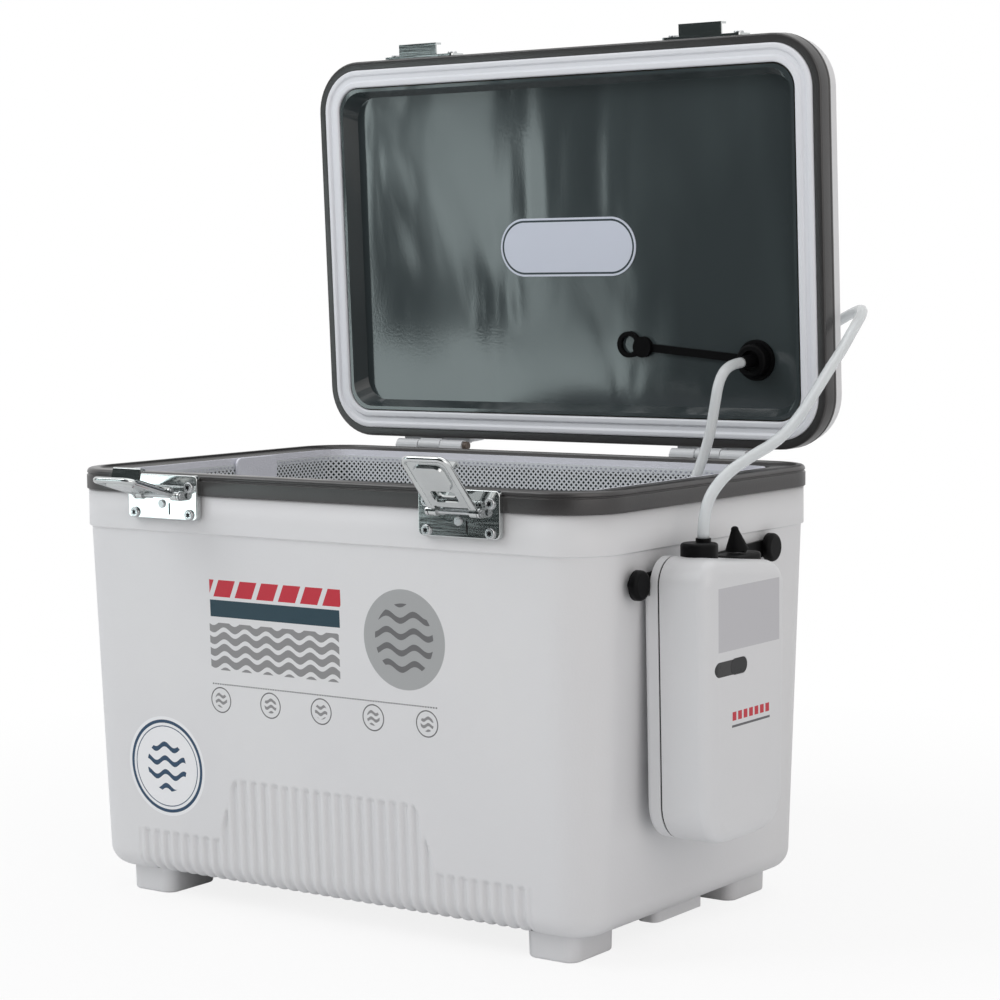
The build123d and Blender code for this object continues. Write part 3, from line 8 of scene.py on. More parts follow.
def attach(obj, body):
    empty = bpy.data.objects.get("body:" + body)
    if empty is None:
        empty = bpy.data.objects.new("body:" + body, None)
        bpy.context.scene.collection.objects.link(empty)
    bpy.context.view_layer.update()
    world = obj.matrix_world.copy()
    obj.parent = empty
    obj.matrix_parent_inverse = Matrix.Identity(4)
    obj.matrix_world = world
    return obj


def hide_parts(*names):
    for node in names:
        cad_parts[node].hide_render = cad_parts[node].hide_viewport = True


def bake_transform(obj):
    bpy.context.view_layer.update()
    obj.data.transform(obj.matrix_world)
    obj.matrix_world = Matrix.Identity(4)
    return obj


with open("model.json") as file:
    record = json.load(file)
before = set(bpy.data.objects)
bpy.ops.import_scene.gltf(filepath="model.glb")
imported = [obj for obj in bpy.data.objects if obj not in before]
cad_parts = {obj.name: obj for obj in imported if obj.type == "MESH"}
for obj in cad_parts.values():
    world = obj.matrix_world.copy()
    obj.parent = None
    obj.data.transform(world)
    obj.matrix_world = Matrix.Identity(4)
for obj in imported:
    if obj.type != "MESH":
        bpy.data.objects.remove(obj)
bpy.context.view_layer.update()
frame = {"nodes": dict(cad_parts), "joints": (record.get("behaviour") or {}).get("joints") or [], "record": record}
nodes = frame["nodes"]
scene = bpy.context.scene
print("frame loaded:", len(nodes), "nodes")

# the camera as solved from the photo: its place in metres, its right and up directions
camera = {
    "place": (0.85987, -1.15205, 0.34556),
    "right": (0.81487, 0.57957, -0.00939),
    "up": (-0.04263, 0.07608, 0.99619),
    "lens": 92.77,
    "sensor": 36.0,
}


# an object of its data, linked into the scene
def linked(name, data):
    item = bpy.data.objects.new(name, data)
    scene.collection.objects.link(item)
    return item


# a transform whose columns are an object's right, up and back directions and its place
def axesMatrix(right, up, back, place):
    return Matrix([[right[i], up[i], back[i], place[i]] for i in range(3)] + [[0, 0, 0, 1]])


# a camera that looks against its back direction, which is right crossed with up
def makeCamera(spec):
    data = bpy.data.cameras.new("studioCamera")
    data.lens = spec["lens"]
    data.sensor_width = spec["sensor"]
    holder = linked("studioCamera", data)
    back = np.cross(spec["right"], spec["up"])
    holder.matrix_world = axesMatrix(spec["right"], spec["up"], back, spec["place"])
    scene.camera = holder


makeCamera(camera)

# the box and the lid, in metres; insets are from the box's widest outline
box = {
    "width": 0.355,
    "depth": 0.2366,
    "corner": 0.031,
    "foot": 0.014,
    "step": 0.2079,
    "rimLow": 0.2287,
    "rimTop": 0.2404,
    "baseInset": 0.0098,
    "stepInset": 0.0025,
    "bandInset": 0.001,
    "wall": 0.020,
}
lid = {
    "width": 0.355,
    "depth": 0.2328,
    "lean": math.radians(2.54),  # how far the open lid leans back
    "back": 0.0041,  # its hinge edge above the hinge's axis
    "rise": 0.001,  # its rim plane in front of the axis
}
hinge = next(joint["pos_m"] for joint in frame["joints"] if joint["name"] == "lid_hinge")
lidUp = np.array([0, -math.sin(lid["lean"]), math.cos(lid["lean"])])
lidOut = np.array([0, -math.cos(lid["lean"]), -math.sin(lid["lean"])])
lidOrigin = np.array([0, hinge[1], hinge[2]]) + lidUp * lid["back"] + lidOut * lid["rise"]


# points (across, up from the hinge edge, depth into the lid) turn onto the open lid
def toLid(points):
    across, rise, depth = np.split(np.asarray(points, float), 3, axis=-1)
    return lidOrigin + across * np.array([1, 0, 0]) + rise * lidUp - depth * lidOut


# a grid of points (rows, columns, 3) becomes quads; it can close along columns,
# and each end row can be closed by a fan to that row's middle
def gridMesh(name, points, closed=True, capFirst=False, capLast=False, uv=None, flip=False):
    rows, cols = points.shape[:2]
    verts = points.reshape(-1, 3)
    span = cols if closed else cols - 1
    r = np.arange(rows - 1)[:, None]
    c = np.arange(span)[None, :]
    nextC = (c + 1) % cols
    corners = [r * cols + c, r * cols + nextC, (r + 1) * cols + nextC, (r + 1) * cols + c]
    quads = np.stack(corners, -1).reshape(-1, 4)
    tris = np.zeros((0, 3), int)
    ring = np.arange(span)
    nextRing = (ring + 1) % cols
    lastRow = (rows - 1) * cols
    for wanted, base, first, second in ((capFirst, 0, nextRing, ring), (capLast, lastRow, ring, nextRing)):
        if wanted:
            fan = np.stack([base + first, base + second, np.full(span, len(verts))], -1)
            tris = np.vstack([tris, fan])
            verts = np.vstack([verts, verts[base : base + cols].mean(0)])
    if flip:
        quads = quads[:, ::-1]
        tris = tris[:, ::-1]
    mesh = bpy.data.meshes.new(name)
    loops = np.concatenate([quads.ravel(), tris.ravel()]).astype(np.int32)
    sizes = np.concatenate([np.full(len(quads), 4), np.full(len(tris), 3)]).astype(np.int32)
    mesh.vertices.add(len(verts))
    mesh.vertices.foreach_set("co", verts.astype(np.float32).ravel())
    mesh.loops.add(len(loops))
    mesh.loops.foreach_set("vertex_index", loops)
    mesh.polygons.add(len(sizes))
    starts = np.concatenate([[0], np.cumsum(sizes)[:-1]])
    mesh.polygons.foreach_set("loop_start", starts.astype(np.int32))
    mesh.polygons.foreach_set("use_smooth", np.ones(len(sizes), bool))
    if uv is not None:
        allUv = np.vstack([uv.reshape(-1, 2), np.zeros((len(verts) - rows * cols, 2))])
        layer = mesh.uv_layers.new(name="UVMap")
        layer.data.foreach_set("uv", allUv[loops].astype(np.float32).ravel())
    mesh.update(calc_edges=True)
    mesh.validate()
    return linked(name, mesh)


# a rounded rectangle as points and outward normals: straight sides and quarter arcs,
# sideSteps points along each X side, endSteps along each Y side
def roundedLoop(halfX, halfY, corner, sideSteps=40, endSteps=24, arcSteps=12):
    spots = []
    turns = []
    runs = (
        ((-halfX + corner, -halfY), (halfX - corner, -halfY), (0, -1), sideSteps),
        ((halfX, -halfY + corner), (halfX, halfY - corner), (1, 0), endSteps),
        ((halfX - corner, halfY), (-halfX + corner, halfY), (0, 1), sideSteps),
        ((-halfX, halfY - corner), (-halfX, -halfY + corner), (-1, 0), endSteps),
    )
    for start, end, normal, steps in runs:
        share = np.linspace(0, 1, steps)[:, None]
        spots.append(np.array(start) + (np.array(end) - np.array(start)) * share)
        turns.append(np.tile(normal, (steps, 1)))
        middle = np.array(end) - np.array(normal) * corner
        angle = math.atan2(normal[1], normal[0]) + np.linspace(0, math.pi / 2, arcSteps + 2)[1:-1]
        ray = np.stack([np.cos(angle), np.sin(angle)], -1)
        spots.append(middle + ray * corner)
        turns.append(ray)
    return np.vstack(spots), np.vstack(turns)


# a polyline whose corners are rounded: each corner becomes an arc of its own radius
def softProfile(points, steps=6):
    out = []
    for index, item in enumerate(points):
        spot = np.array(item[:2], float)
        radius = item[2] if len(item) > 2 else 0
        if radius == 0 or index in (0, len(points) - 1):
            out.append(spot)
            continue
        before = np.array(points[index - 1][:2], float) - spot
        after = np.array(points[index + 1][:2], float) - spot
        before /= np.linalg.norm(before)
        after /= np.linalg.norm(after)
        half = math.acos(np.clip(before @ after, -1, 1)) / 2
        reach = radius / math.tan(half)
        middle = spot + (before + after) / np.linalg.norm(before + after) * radius / math.sin(half)
        start = spot + before * reach - middle
        end = spot + after * reach - middle
        first = math.atan2(start[1], start[0])
        sweep = math.atan2(end[1], end[0]) - first
        sweep = (sweep + math.pi) % (2 * math.pi) - math.pi
        for angle in first + sweep * np.linspace(0, 1, steps + 1):
            out.append(middle + radius * np.array([math.cos(angle), math.sin(angle)]))
    return np.array(out)


# a profile of (inset, height) carried round a loop: each loop point moves in by the inset
# along its normal and up by the height
def sweptRing(loop, profile):
    spots, normals = loop
    flat = spots[None] - normals[None] * profile[:, 0][:, None, None]
    height = np.broadcast_to(profile[:, 1][:, None, None], flat.shape[:2] + (1,))
    return np.concatenate([flat, height], -1)


# lengths along a grid's rows and columns, in metres, as its UV map
def lengthUv(points):
    around = np.linalg.norm(np.diff(points, axis=1), axis=-1).max(0)
    along = np.linalg.norm(np.diff(points, axis=0), axis=-1).mean(1)
    u = np.concatenate([[0], np.cumsum(around)])
    v = np.concatenate([[0], np.cumsum(along)])
    return np.stack(np.broadcast_arrays(u[None, :], v[:, None]), -1)


# the air hoses are laid first, each from its exit along its route's control points
hose = {"radius": 0.003, "sides": 20, "colour": (0.84, 0.87, 0.88), "mottle": (0.78, 0.82, 0.84)}
outerRoute = [
    (0.1962, -0.045, 0.2134), (0.1962, -0.045, 0.229), (0.201, -0.034, 0.244),
    (0.206, -0.014, 0.253), (0.2075, 0.010, 0.259), (0.207, 0.034, 0.270),
    (0.204, 0.058, 0.283), (0.199, 0.083, 0.294), (0.194, 0.107, 0.304),
    (0.189, 0.130, 0.315), (0.183, 0.152, 0.323), (0.172, 0.171, 0.325),
    (0.154, 0.182, 0.319), (0.136, 0.179, 0.308), tuple(toLid((0.1275, 0.050, 0.0477))),
    tuple(toLid((0.1275, 0.050, 0.0307))),
]
innerRoute = [
    tuple(toLid((0.1275, 0.050, -0.0075))), tuple(toLid((0.1275, 0.050, -0.021))),
    (0.1273, 0.0872, 0.2868), (0.1268, 0.0832, 0.2715), (0.125, 0.0795, 0.252),
    (0.120, 0.072, 0.230), (0.113, 0.063, 0.203), (0.106, 0.054, 0.174),
    (0.099, 0.046, 0.145), (0.092, 0.037, 0.117), (0.085, 0.029, 0.091),
    (0.085, 0.029, 0.0731),
]


# a smooth curve through a route's control points, read back as evenly fine points
def smoothPath(name, route):
    curve = bpy.data.curves.new(name, "CURVE")
    curve.dimensions = "3D"
    curve.resolution_u = 12
    spline = curve.splines.new("NURBS")
    spline.points.add(len(route) - 1)
    spline.points.foreach_set("co", [v for spot in route for v in (*spot, 1.0)])
    spline.order_u = 3
    spline.use_endpoint_u = True
    holder = linked(name, curve)
    bpy.context.view_layer.update()
    mesh = bpy.data.meshes.new_from_object(holder)
    points = np.empty(len(mesh.vertices) * 3)
    mesh.vertices.foreach_get("co", points)
    bpy.data.objects.remove(holder)
    bpy.data.meshes.remove(mesh)
    return points.reshape(-1, 3)


# circles square to a path, each turned as little as possible from the one before
def tubeGrid(path, radius, sides):
    along = np.gradient(path, axis=0)
    along /= np.linalg.norm(along, axis=1)[:, None]
    side = np.cross(along[0], (0.3, 0.9, 0.1))
    side /= np.linalg.norm(side)
    angle = np.linspace(0, 2 * math.pi, sides, endpoint=False)
    rings = []
    for spot, ahead in zip(path, along):
        side = side - ahead * (side @ ahead)
        side /= np.linalg.norm(side)
        other = np.cross(ahead, side)
        rings.append(spot + radius * (np.cos(angle)[:, None] * side + np.sin(angle)[:, None] * other))
    return np.array(rings)


# a path's length: the sum of its straight steps
def pathLength(path):
    return float(np.linalg.norm(np.diff(path, axis=0), axis=1).sum())


outerPath = smoothPath("outerHoseRoute", outerRoute)
innerPath = smoothPath("innerHoseRoute", innerRoute)
hosePieces = {}
for name, path in (("outerHose", outerPath), ("innerHose", innerPath)):
    rings = tubeGrid(path, hose["radius"], hose["sides"])
    hosePieces[name] = gridMesh(name, rings, capFirst=True, capLast=True, uv=lengthUv(rings))
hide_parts("outer_hose")
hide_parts("inner_hose")
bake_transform(hosePieces["outerHose"])
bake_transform(hosePieces["innerHose"])
print("hoses laid:", round(pathLength(outerPath), 3), round(pathLength(innerPath), 3))


# a shader group with its number inputs and their usual values, and its outputs' kinds;
# groups put out only masks, values and normals
def newGroup(name, inputs, outputs):
    group = bpy.data.node_groups.new(name, "ShaderNodeTree")
    for socket, value in inputs.items():
        item = group.interface.new_socket(name=socket, in_out="INPUT", socket_type="NodeSocketFloat")
        item.default_value = value
    for socket, kind in outputs.items():
        group.interface.new_socket(name=socket, in_out="OUTPUT", socket_type="NodeSocket" + kind)
    entry = group.nodes.new("NodeGroupInput")
    leave = group.nodes.new("NodeGroupOutput")
    return group, entry, leave


# adds a node, sets its properties, and links or sets its inputs by name or number
def put(tree, kind, settings=None, **inputs):
    node = tree.nodes.new(kind)
    for key, value in (settings or {}).items():
        setattr(node, key, value)
    for key, value in inputs.items():
        socket = node.inputs[int(key[1:])] if key[0] == "n" and key[1:].isdigit() else node.inputs[key]
        if isinstance(value, bpy.types.NodeSocket):
            tree.links.new(value, socket)
        else:
            socket.default_value = value
    return node


# one Math node's result, from one to three values or sockets
def maths(tree, operation, *values):
    inputs = {"n" + str(index): value for index, value in enumerate(values)}
    return put(tree, "ShaderNodeMath", {"operation": operation}, **inputs).outputs[0]


# 1 where a value lies no more than half away from a middle
def within(tree, value, middle, half):
    return maths(tree, "COMPARE", value, middle, half)


# how far through its step a value is, from 0 to 1, where steps repeat at a pitch
def stepShare(tree, value, pitch, shift=1.0):
    return maths(tree, "FRACT", maths(tree, "DIVIDE", maths(tree, "ADD", value, shift), pitch))


# the long side over two sides at a right angle
def flatLength(tree, aside, over):
    pair = put(tree, "ShaderNodeCombineXYZ", n0=aside, n1=over).outputs[0]
    return put(tree, "ShaderNodeVectorMath", {"operation": "LENGTH"}, n0=pair).outputs["Value"]


# distance from a level bar: flat length of the way past its half length and the way over it
def barAway(tree, across, over, half):
    past = maths(tree, "SUBTRACT", maths(tree, "ABSOLUTE", across), half)
    return flatLength(tree, maths(tree, "MAXIMUM", past, 0.0), over)


# the place on the object in metres, which splitPlace gives as X, Y and Z
def objectPlace(tree):
    return put(tree, "ShaderNodeTexCoord").outputs["Object"]


def splitPlace(tree):
    return put(tree, "ShaderNodeSeparateXYZ", n0=objectPlace(tree)).outputs


# a value carried from one range to another, and held inside it
def clampRange(tree, value, low, high, outLow=0.0, outHigh=1.0):
    limits = {"n1": low, "n2": high, "n3": outLow, "n4": outHigh}
    return put(tree, "ShaderNodeMapRange", {"clamp": True}, n0=value, **limits).outputs[0]


# moulded texture: the height is fine noise plus 0.6 of coarse noise; the mottle is slow noise
def makeGrainGroup():
    group, entry, leave = newGroup(
        "mouldedGrain",
        {"Fine": 900.0, "Coarse": 45.0, "Depth": 0.1},
        {"Normal": "Vector", "Mottle": "Float"},
    )
    place = objectPlace(group)
    fine = put(group, "ShaderNodeTexNoise", Vector=place, Scale=entry.outputs["Fine"], Detail=2.0)
    coarse = put(group, "ShaderNodeTexNoise", Vector=place, Scale=entry.outputs["Coarse"], Detail=3.0)
    height = maths(group, "MULTIPLY_ADD", coarse.outputs[0], 0.6, fine.outputs[0])
    bump = put(group, "ShaderNodeBump", Strength=entry.outputs["Depth"], Distance=0.0004, Height=height)
    slow = put(group, "ShaderNodeTexNoise", Vector=place, Scale=9.0, Detail=4.0)
    group.links.new(bump.outputs[0], leave.inputs["Normal"])
    group.links.new(clampRange(group, slow.outputs[0], 0.35, 0.65), leave.inputs["Mottle"])
    return group


# handling marks: scratches where a stretched noise peaks, smudges where a slow noise is high
def makeWearGroup():
    group, entry, leave = newGroup(
        "handlingMarks",
        {"Scale": 30.0, "Amount": 0.5},
        {"Scratch": "Float", "Smudge": "Float"},
    )
    place = objectPlace(group)
    turned = put(group, "ShaderNodeMapping", Vector=place, Rotation=(0.4, 0.2, 0.7), Scale=(1.0, 9.0, 5.0))
    scale = entry.outputs["Scale"]
    fine = put(group, "ShaderNodeTexNoise", Vector=turned.outputs[0], Scale=scale, Detail=5.0)
    scratch = clampRange(group, fine.outputs[0], 0.66, 0.72)
    smudge = put(group, "ShaderNodeTexNoise", Vector=place, Scale=14.0, Detail=5.0, Roughness=0.7)
    group.links.new(maths(group, "MULTIPLY", scratch, entry.outputs["Amount"]), leave.inputs["Scratch"])
    group.links.new(clampRange(group, smudge.outputs[0], 0.45, 0.7), leave.inputs["Smudge"])
    return group


grainGroup = makeGrainGroup()
wearGroup = makeWearGroup()


# a material with its Principled shader; the rest of its nodes are added by its own function
def newMaterial(name, colour, roughness, **sockets):
    material = bpy.data.materials.new(name)
    material.use_nodes = True
    tree = material.node_tree
    shader = tree.nodes["Principled BSDF"]
    shader.inputs["Base Color"].default_value = (*colour, 1)
    shader.inputs["Roughness"].default_value = roughness
    for key, value in sockets.items():
        shader.inputs[key.replace("_", " ")].default_value = value
    return material, tree, shader


# feeds a shader's inputs from sockets
def feed(shader, **sockets):
    for key, socket in sockets.items():
        shader.id_data.links.new(socket, shader.inputs[key.replace("_", " ")])


# the shader that a material shows
def showSurface(tree, node):
    tree.links.new(node.outputs[0], tree.nodes["Material Output"].inputs["Surface"])


# places a group in a tree, with its own values
def useGroup(tree, group, **inputs):
    return put(tree, "ShaderNodeGroup", {"node_tree": group}, **inputs)


# the colour between two, by a mask
def blendColour(tree, mask, first, second):
    pair = [item if isinstance(item, bpy.types.NodeSocket) else (*item, 1) for item in (first, second)]
    return put(tree, "ShaderNodeMix", {"data_type": "RGBA"}, n0=mask, n6=pair[0], n7=pair[1]).outputs[2]


# moulded plastic: a grain normal, a faint mottle in the colour, and smudges in the gloss
def moulded(name, colour, tint, roughness, depth=0.12, fine=900.0, smudge=0.08, **sockets):
    material, tree, shader = newMaterial(name, colour, roughness, **sockets)
    grain = useGroup(tree, grainGroup, Depth=depth, Fine=fine)
    wear = useGroup(tree, wearGroup, Amount=0.6)
    base = blendColour(tree, grain.outputs["Mottle"], colour, tint)
    gloss = clampRange(tree, wear.outputs["Smudge"], 0.0, 1.0, roughness, min(1, roughness + smudge))
    scratched = maths(tree, "MULTIPLY_ADD", wear.outputs["Scratch"], 0.25, gloss)
    feed(shader, Base_Color=base, Roughness=scratched, Normal=grain.outputs["Normal"])
    return material


# polished or brushed metal: streaks along one direction vary the gloss and tilt the surface
def metal(name, colour, tint, roughness, stretch=(1.0, 18.0, 18.0), depth=0.05, scale=60.0):
    material, tree, shader = newMaterial(name, colour, roughness, Metallic=1.0)
    turned = put(tree, "ShaderNodeMapping", Vector=objectPlace(tree), Scale=stretch)
    streak = put(tree, "ShaderNodeTexNoise", Vector=turned.outputs[0], Scale=scale, Detail=4.0)
    wear = useGroup(tree, wearGroup, Scale=55.0, Amount=0.7)
    base = blendColour(tree, wear.outputs["Smudge"], colour, tint)
    gloss = clampRange(tree, streak.outputs[0], 0.3, 0.7, roughness * 0.7, roughness * 1.5)
    bump = put(tree, "ShaderNodeBump", Strength=depth, Distance=0.0003, Height=streak.outputs[0])
    feed(shader, Base_Color=base, Roughness=gloss, Normal=bump.outputs[0])
    return material


print("shader groups made")

# the outer shell and its ribbed panel, in metres
shell = {
    "skin": 0.0024,
    "edge": 0.012,
    "ribPitch": 0.0073,
    "ribWidth": 0.0046,
    "panelDepth": 0.0017,
    "panelLow": 0.0387,
    "panelHigh": 0.0735,
    "panelHalf": 0.1336,
    "topHalf": 0.0595,
    "footHalf": 0.0765,
    "soften": 0.0012,
    "endSoften": (-0.0005, 0.0007),
    "ribRise": 0.94,  # share of the panel's depth that a rib comes back up
    "under": (0.10, 0.05, 0.022),  # how far in the underside's rows lie
    "panelRows": (0.001, 0.076, 52),  # above the lower corner, to a height, in so many rows
    "wallRows": (0.078, 0.2065, 40),
    "fade": (-0.055, -0.022),  # the ribs fade out under the box between these insets
}


# smooth step from 0 to 1 between two values
def ease(value, low, high):
    share = np.clip((value - low) / (high - low), 0, 1)
    return share * share * (3 - 2 * share)


# the shell: a tapered profile round the box's outline; inside the panel's outline the
# surface drops by the panel's depth, and half-round ribs bring it back up by the square
# root of 1 minus the squared share of the way from a rib's middle to its edge
def makeShell(spec):
    slope = (box["baseInset"] - box["stepInset"]) / (box["step"] - box["foot"])
    lowRows = np.array([(box["baseInset"] + inset, box["foot"]) for inset in spec["under"]])
    foot = (box["baseInset"], box["foot"], spec["edge"])
    corner = softProfile([(foot[0] + 0.03, foot[1]), foot, (box["stepInset"], box["step"])], steps=14)[1:-1]
    gap, panelEnd, panelCount = spec["panelRows"]
    panelHeights = np.linspace(corner[-1][1] + gap, panelEnd, panelCount)
    heights = np.concatenate([panelHeights, np.linspace(*spec["wallRows"])])
    wall = np.stack([box["stepInset"] + (box["step"] - heights) * slope, heights], -1)
    band = softProfile(
        [
            (box["stepInset"] + 0.00005, box["step"] - 0.0012),
            (box["stepInset"], box["step"], 0.0006),
            (box["bandInset"], box["step"] + 0.0003, 0.0006),
            (box["bandInset"], box["rimLow"]),
            (box["bandInset"] + spec["skin"], box["rimLow"]),
        ],
        steps=4,
    )
    profile = np.vstack([lowRows, corner, wall, band])
    half = (box["width"] / 2, box["depth"] / 2)
    loop = roundedLoop(*half, box["corner"], sideSteps=330, endSteps=26, arcSteps=16)
    points = sweptRing(loop, profile)
    # how far each point lies inside the panel, from its X and height
    across = np.abs(points[..., 0])
    height = points[..., 2]
    climb = ease(-across, -spec["footHalf"], -spec["topHalf"])
    top = spec["panelLow"] + (spec["panelHigh"] - spec["panelLow"]) * climb
    front = (loop[1][:, 1] < -0.999)[None, :] * np.ones_like(height)
    inside = front * ease(top - height, -spec["soften"], spec["soften"])
    inside = inside * ease(spec["panelHalf"] - across, *spec["endSoften"])
    phase = (points[..., 0] / spec["ribPitch"] + 0.5) % 1 - 0.5
    offset = np.clip(np.abs(phase) * spec["ribPitch"] / (spec["ribWidth"] / 2), 0, 1)
    rib = np.sqrt(1 - offset**2) * spec["ribRise"]
    drop = inside * spec["panelDepth"] * (1 - rib)
    fade = ease(-profile[:, 0][:, None], *spec["fade"])
    alongUp = np.gradient(profile[:, 1])
    alongIn = np.gradient(profile[:, 0])
    size = np.hypot(alongUp, alongIn)
    points[..., 1] += drop * fade * (alongUp / size)[:, None]
    points[..., 2] -= drop * fade * (alongIn / size)[:, None]
    return gridMesh("outerShell", points, capFirst=True)


shellPiece = makeShell(shell)
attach(shellPiece, "box")
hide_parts("outer_shell")
print("shell made")

# the rim in metres; rim, lid, tub and net are profiles carried round rounded outlines
rimPart = {
    "lip": 0.0024,
    "lipRadius": 0.0006,
    "edgeRadius": 0.00224,
    "beadDrop": 0.0030,
    "beadDepth": 0.0007,
    "beadHeight": 0.0005,
    "beadSlope": 0.0004,
    "beadRadius": 0.0003,
    "upperInset": 0.0002,
    "topWidth": 0.0040,
    "ledge": ((0.0043, 0.0), (0.0047, 0.0004), (0.0048, 0.0014)),  # inset and depth under the top
    "innerCut": 0.0008,
}
mainLoop = roundedLoop(box["width"] / 2, box["depth"] / 2, box["corner"])
lidLoopFlat = roundedLoop(lid["width"] / 2, lid["depth"] / 2, box["corner"])
ledgeLoop = (lidLoopFlat[0] + np.array([0, (box["depth"] - lid["depth"]) / 2]), lidLoopFlat[1])


# the dark rim: outer face with a fine bead line near its top, a narrow flat top, and inside it a
# ledge for the lid's gasket, which follows the lid's own outline and ends at the inner face
def makeRim(spec):
    top = box["rimTop"]
    low = box["rimLow"]
    bead = top - spec["beadDrop"]
    beadLow = bead - spec["beadHeight"]
    small = spec["beadRadius"]
    slope = spec["beadSlope"]
    cut = spec["innerCut"]
    ledge = np.array([(inset, top - depth) for inset, depth in spec["ledge"]])
    seat = ledge[-1, 1]
    outer = softProfile(
        [
            (spec["lip"], low),
            (0.0, low, spec["lipRadius"]),
            (0.0, beadLow - slope, small),
            (spec["beadDepth"], beadLow, small),
            (spec["beadDepth"], bead, small),
            (spec["upperInset"], bead + slope, small),
            (spec["upperInset"], top, spec["edgeRadius"]),
            (spec["topWidth"], top),
        ],
        steps=5,
    )
    inner = np.array([(box["wall"] - cut, seat), (box["wall"], seat - cut), (box["wall"], low)])
    rings = [sweptRing(mainLoop, outer), sweptRing(ledgeLoop, ledge), sweptRing(mainLoop, inner)]
    return gridMesh("rimCap", np.concatenate(rings))


rimPiece = makeRim(rimPart)
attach(rimPiece, "box")
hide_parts("rim_trim")

# the lid's profiles: each corner's inset, its depth into the lid, and its radius
lidPart = {
    "band": [
        (0.0164, 0.0025), (0.0053, 0.0025), (0.0053, 0.0003, 0.0002), (0.0003, 0.0001, 0.0012),
        (0.0, 0.0088, 0.0003), (0.0006, 0.0092, 0.0002), (0.0006, 0.0097, 0.0002),
        (0.0, 0.0101, 0.0003), (0.0, 0.0115, 0.0004), (0.004, 0.0115),
    ],
    "cover": [
        (0.0045, 0.0117), (0.0007, 0.0117, 0.0008), (0.0022, 0.0262, 0.008), (0.02, 0.0262), (0.029, 0.0262),
    ],
    "gasket": [
        (0.0055, 0.0023), (0.0055, -0.001, 0.0012), (0.0085, -0.001, 0.0012), (0.0094, 0.0002, 0.0006),
        (0.0120, 0.0002, 0.0006), (0.0128, -0.001, 0.0012), (0.0162, -0.001, 0.0012), (0.0162, 0.0023),
    ],
}
lidLoop = (lidLoopFlat[0] + np.array([0, lid["depth"] / 2]), lidLoopFlat[1])


# a lid piece: its profile goes round the lid's outline, and the grid turns onto the open lid
def makeLidPiece(name, corners, steps=6, capLast=False):
    ring = sweptRing(lidLoop, softProfile(corners, steps))
    return gridMesh(name, toLid(ring), capLast=capLast, flip=True)


lidBandPiece = makeLidPiece("lidBand", lidPart["band"])
lidShellPiece = makeLidPiece("lidCover", lidPart["cover"], steps=10, capLast=True)
gasketPiece = makeLidPiece("lidGasket", lidPart["gasket"])
for piece, node, slotName in (
    (lidBandPiece, "lid_band", "rim_grey"),
    (lidShellPiece, "lid_shell", "white_shell"),
    (gasketPiece, "lid_gasket", "white_gasket"),
):
    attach(piece, "lid")
    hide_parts(node)
print("rim and lid made")

# the inner tub and the net, in metres; the net's thread is the share of its pitch
tub = {"floor": 0.038, "wall": 0.020, "foot": 0.024, "corner": 0.016, "edge": 0.008}
net = {
    "top": 0.2353,
    "floor": 0.0392,
    "topInset": 0.0227,
    "lowInset": 0.0306,
    "corner": 0.016,
    "floorInset": 0.0156,
    "edge": 0.0078,
    "billow": 0.0008,
    "flat": (0.69, 0.57),
    "area": 0.25,
    "pitch": 0.0034,
    "thread": 0.43,
    "seam": 0.0012,
    "rows": 44,
    "fade": (0.03, 0.02),  # the waves grow over this much at the top and end over this at the foot
    "roundWave": (23, 3, 4),  # waves round, and the push and waves round of a slower wave
    "downWave": (40, 2, 7),  # the same for the wave down, in radians for each metre
}
tubLoop = roundedLoop(box["width"] / 2 - tub["wall"], box["depth"] / 2 - tub["wall"], tub["corner"])
tubDrop = tub["foot"] - tub["wall"]


# the tub that shows through the net: wall, rounded foot and flat floor; its near-black colour is dark grey plastic
# darkened further by painted shade of the box's inside
def makeTub(spec):
    profile = softProfile(
        [(0, box["rimLow"]), (tubDrop, spec["floor"], spec["edge"]), (spec["corner"] - 0.001, spec["floor"])],
        steps=8,
    )
    return gridMesh("innerTub", sweptRing(tubLoop, profile), capLast=True)


tubPiece = makeTub(tub)
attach(tubPiece, "box")
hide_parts("inner_liner")


# the net's wall and its foot's turn; a wave round times a wave down, each pushed sideways by a
# slower wave, lets it hang a little slack, and its UV map is the length of cloth round and down
def makeNet(spec):
    inset = spec["topInset"]
    half = (box["width"] / 2 - inset, box["depth"] / 2 - inset)
    spots, normals = roundedLoop(*half, spec["corner"], sideSteps=90, endSteps=60, arcSteps=10)
    loop = (np.vstack([spots, spots[:1]]), np.vstack([normals, normals[:1]]))
    foot = (spec["lowInset"] - inset, spec["floor"], spec["edge"])
    wall = softProfile([(0, spec["top"]), foot, (spec["floorInset"], spec["floor"])], steps=8)
    heights = np.linspace(spec["top"], wall[1][1] + 0.003, spec["rows"])
    slope = (spec["lowInset"] - inset) / (spec["top"] - spec["floor"])
    straight = np.stack([(spec["top"] - heights) * slope, heights], -1)
    profile = np.vstack([straight, wall[1:]])
    points = sweptRing(loop, profile)
    around = np.linspace(0, 2 * math.pi, points.shape[1])
    down = (spec["top"] - profile[:, 1])[:, None]
    above = profile[:, 1][:, None] - spec["floor"]
    hang = np.clip(down / spec["fade"][0], 0, 1) * np.clip(above / spec["fade"][1], 0, 1)
    turns, push, slow = spec["roundWave"]
    roundWave = np.sin(around * turns + push * np.sin(around * slow))[None]
    turns, push, slow = spec["downWave"]
    downWave = np.sin(down * turns + push * np.sin(around * slow)[None])
    points[..., :2] -= (roundWave * downWave * hang * spec["billow"])[..., None] * loop[1][None]
    return gridMesh("netCloth", points, closed=False, uv=lengthUv(points))


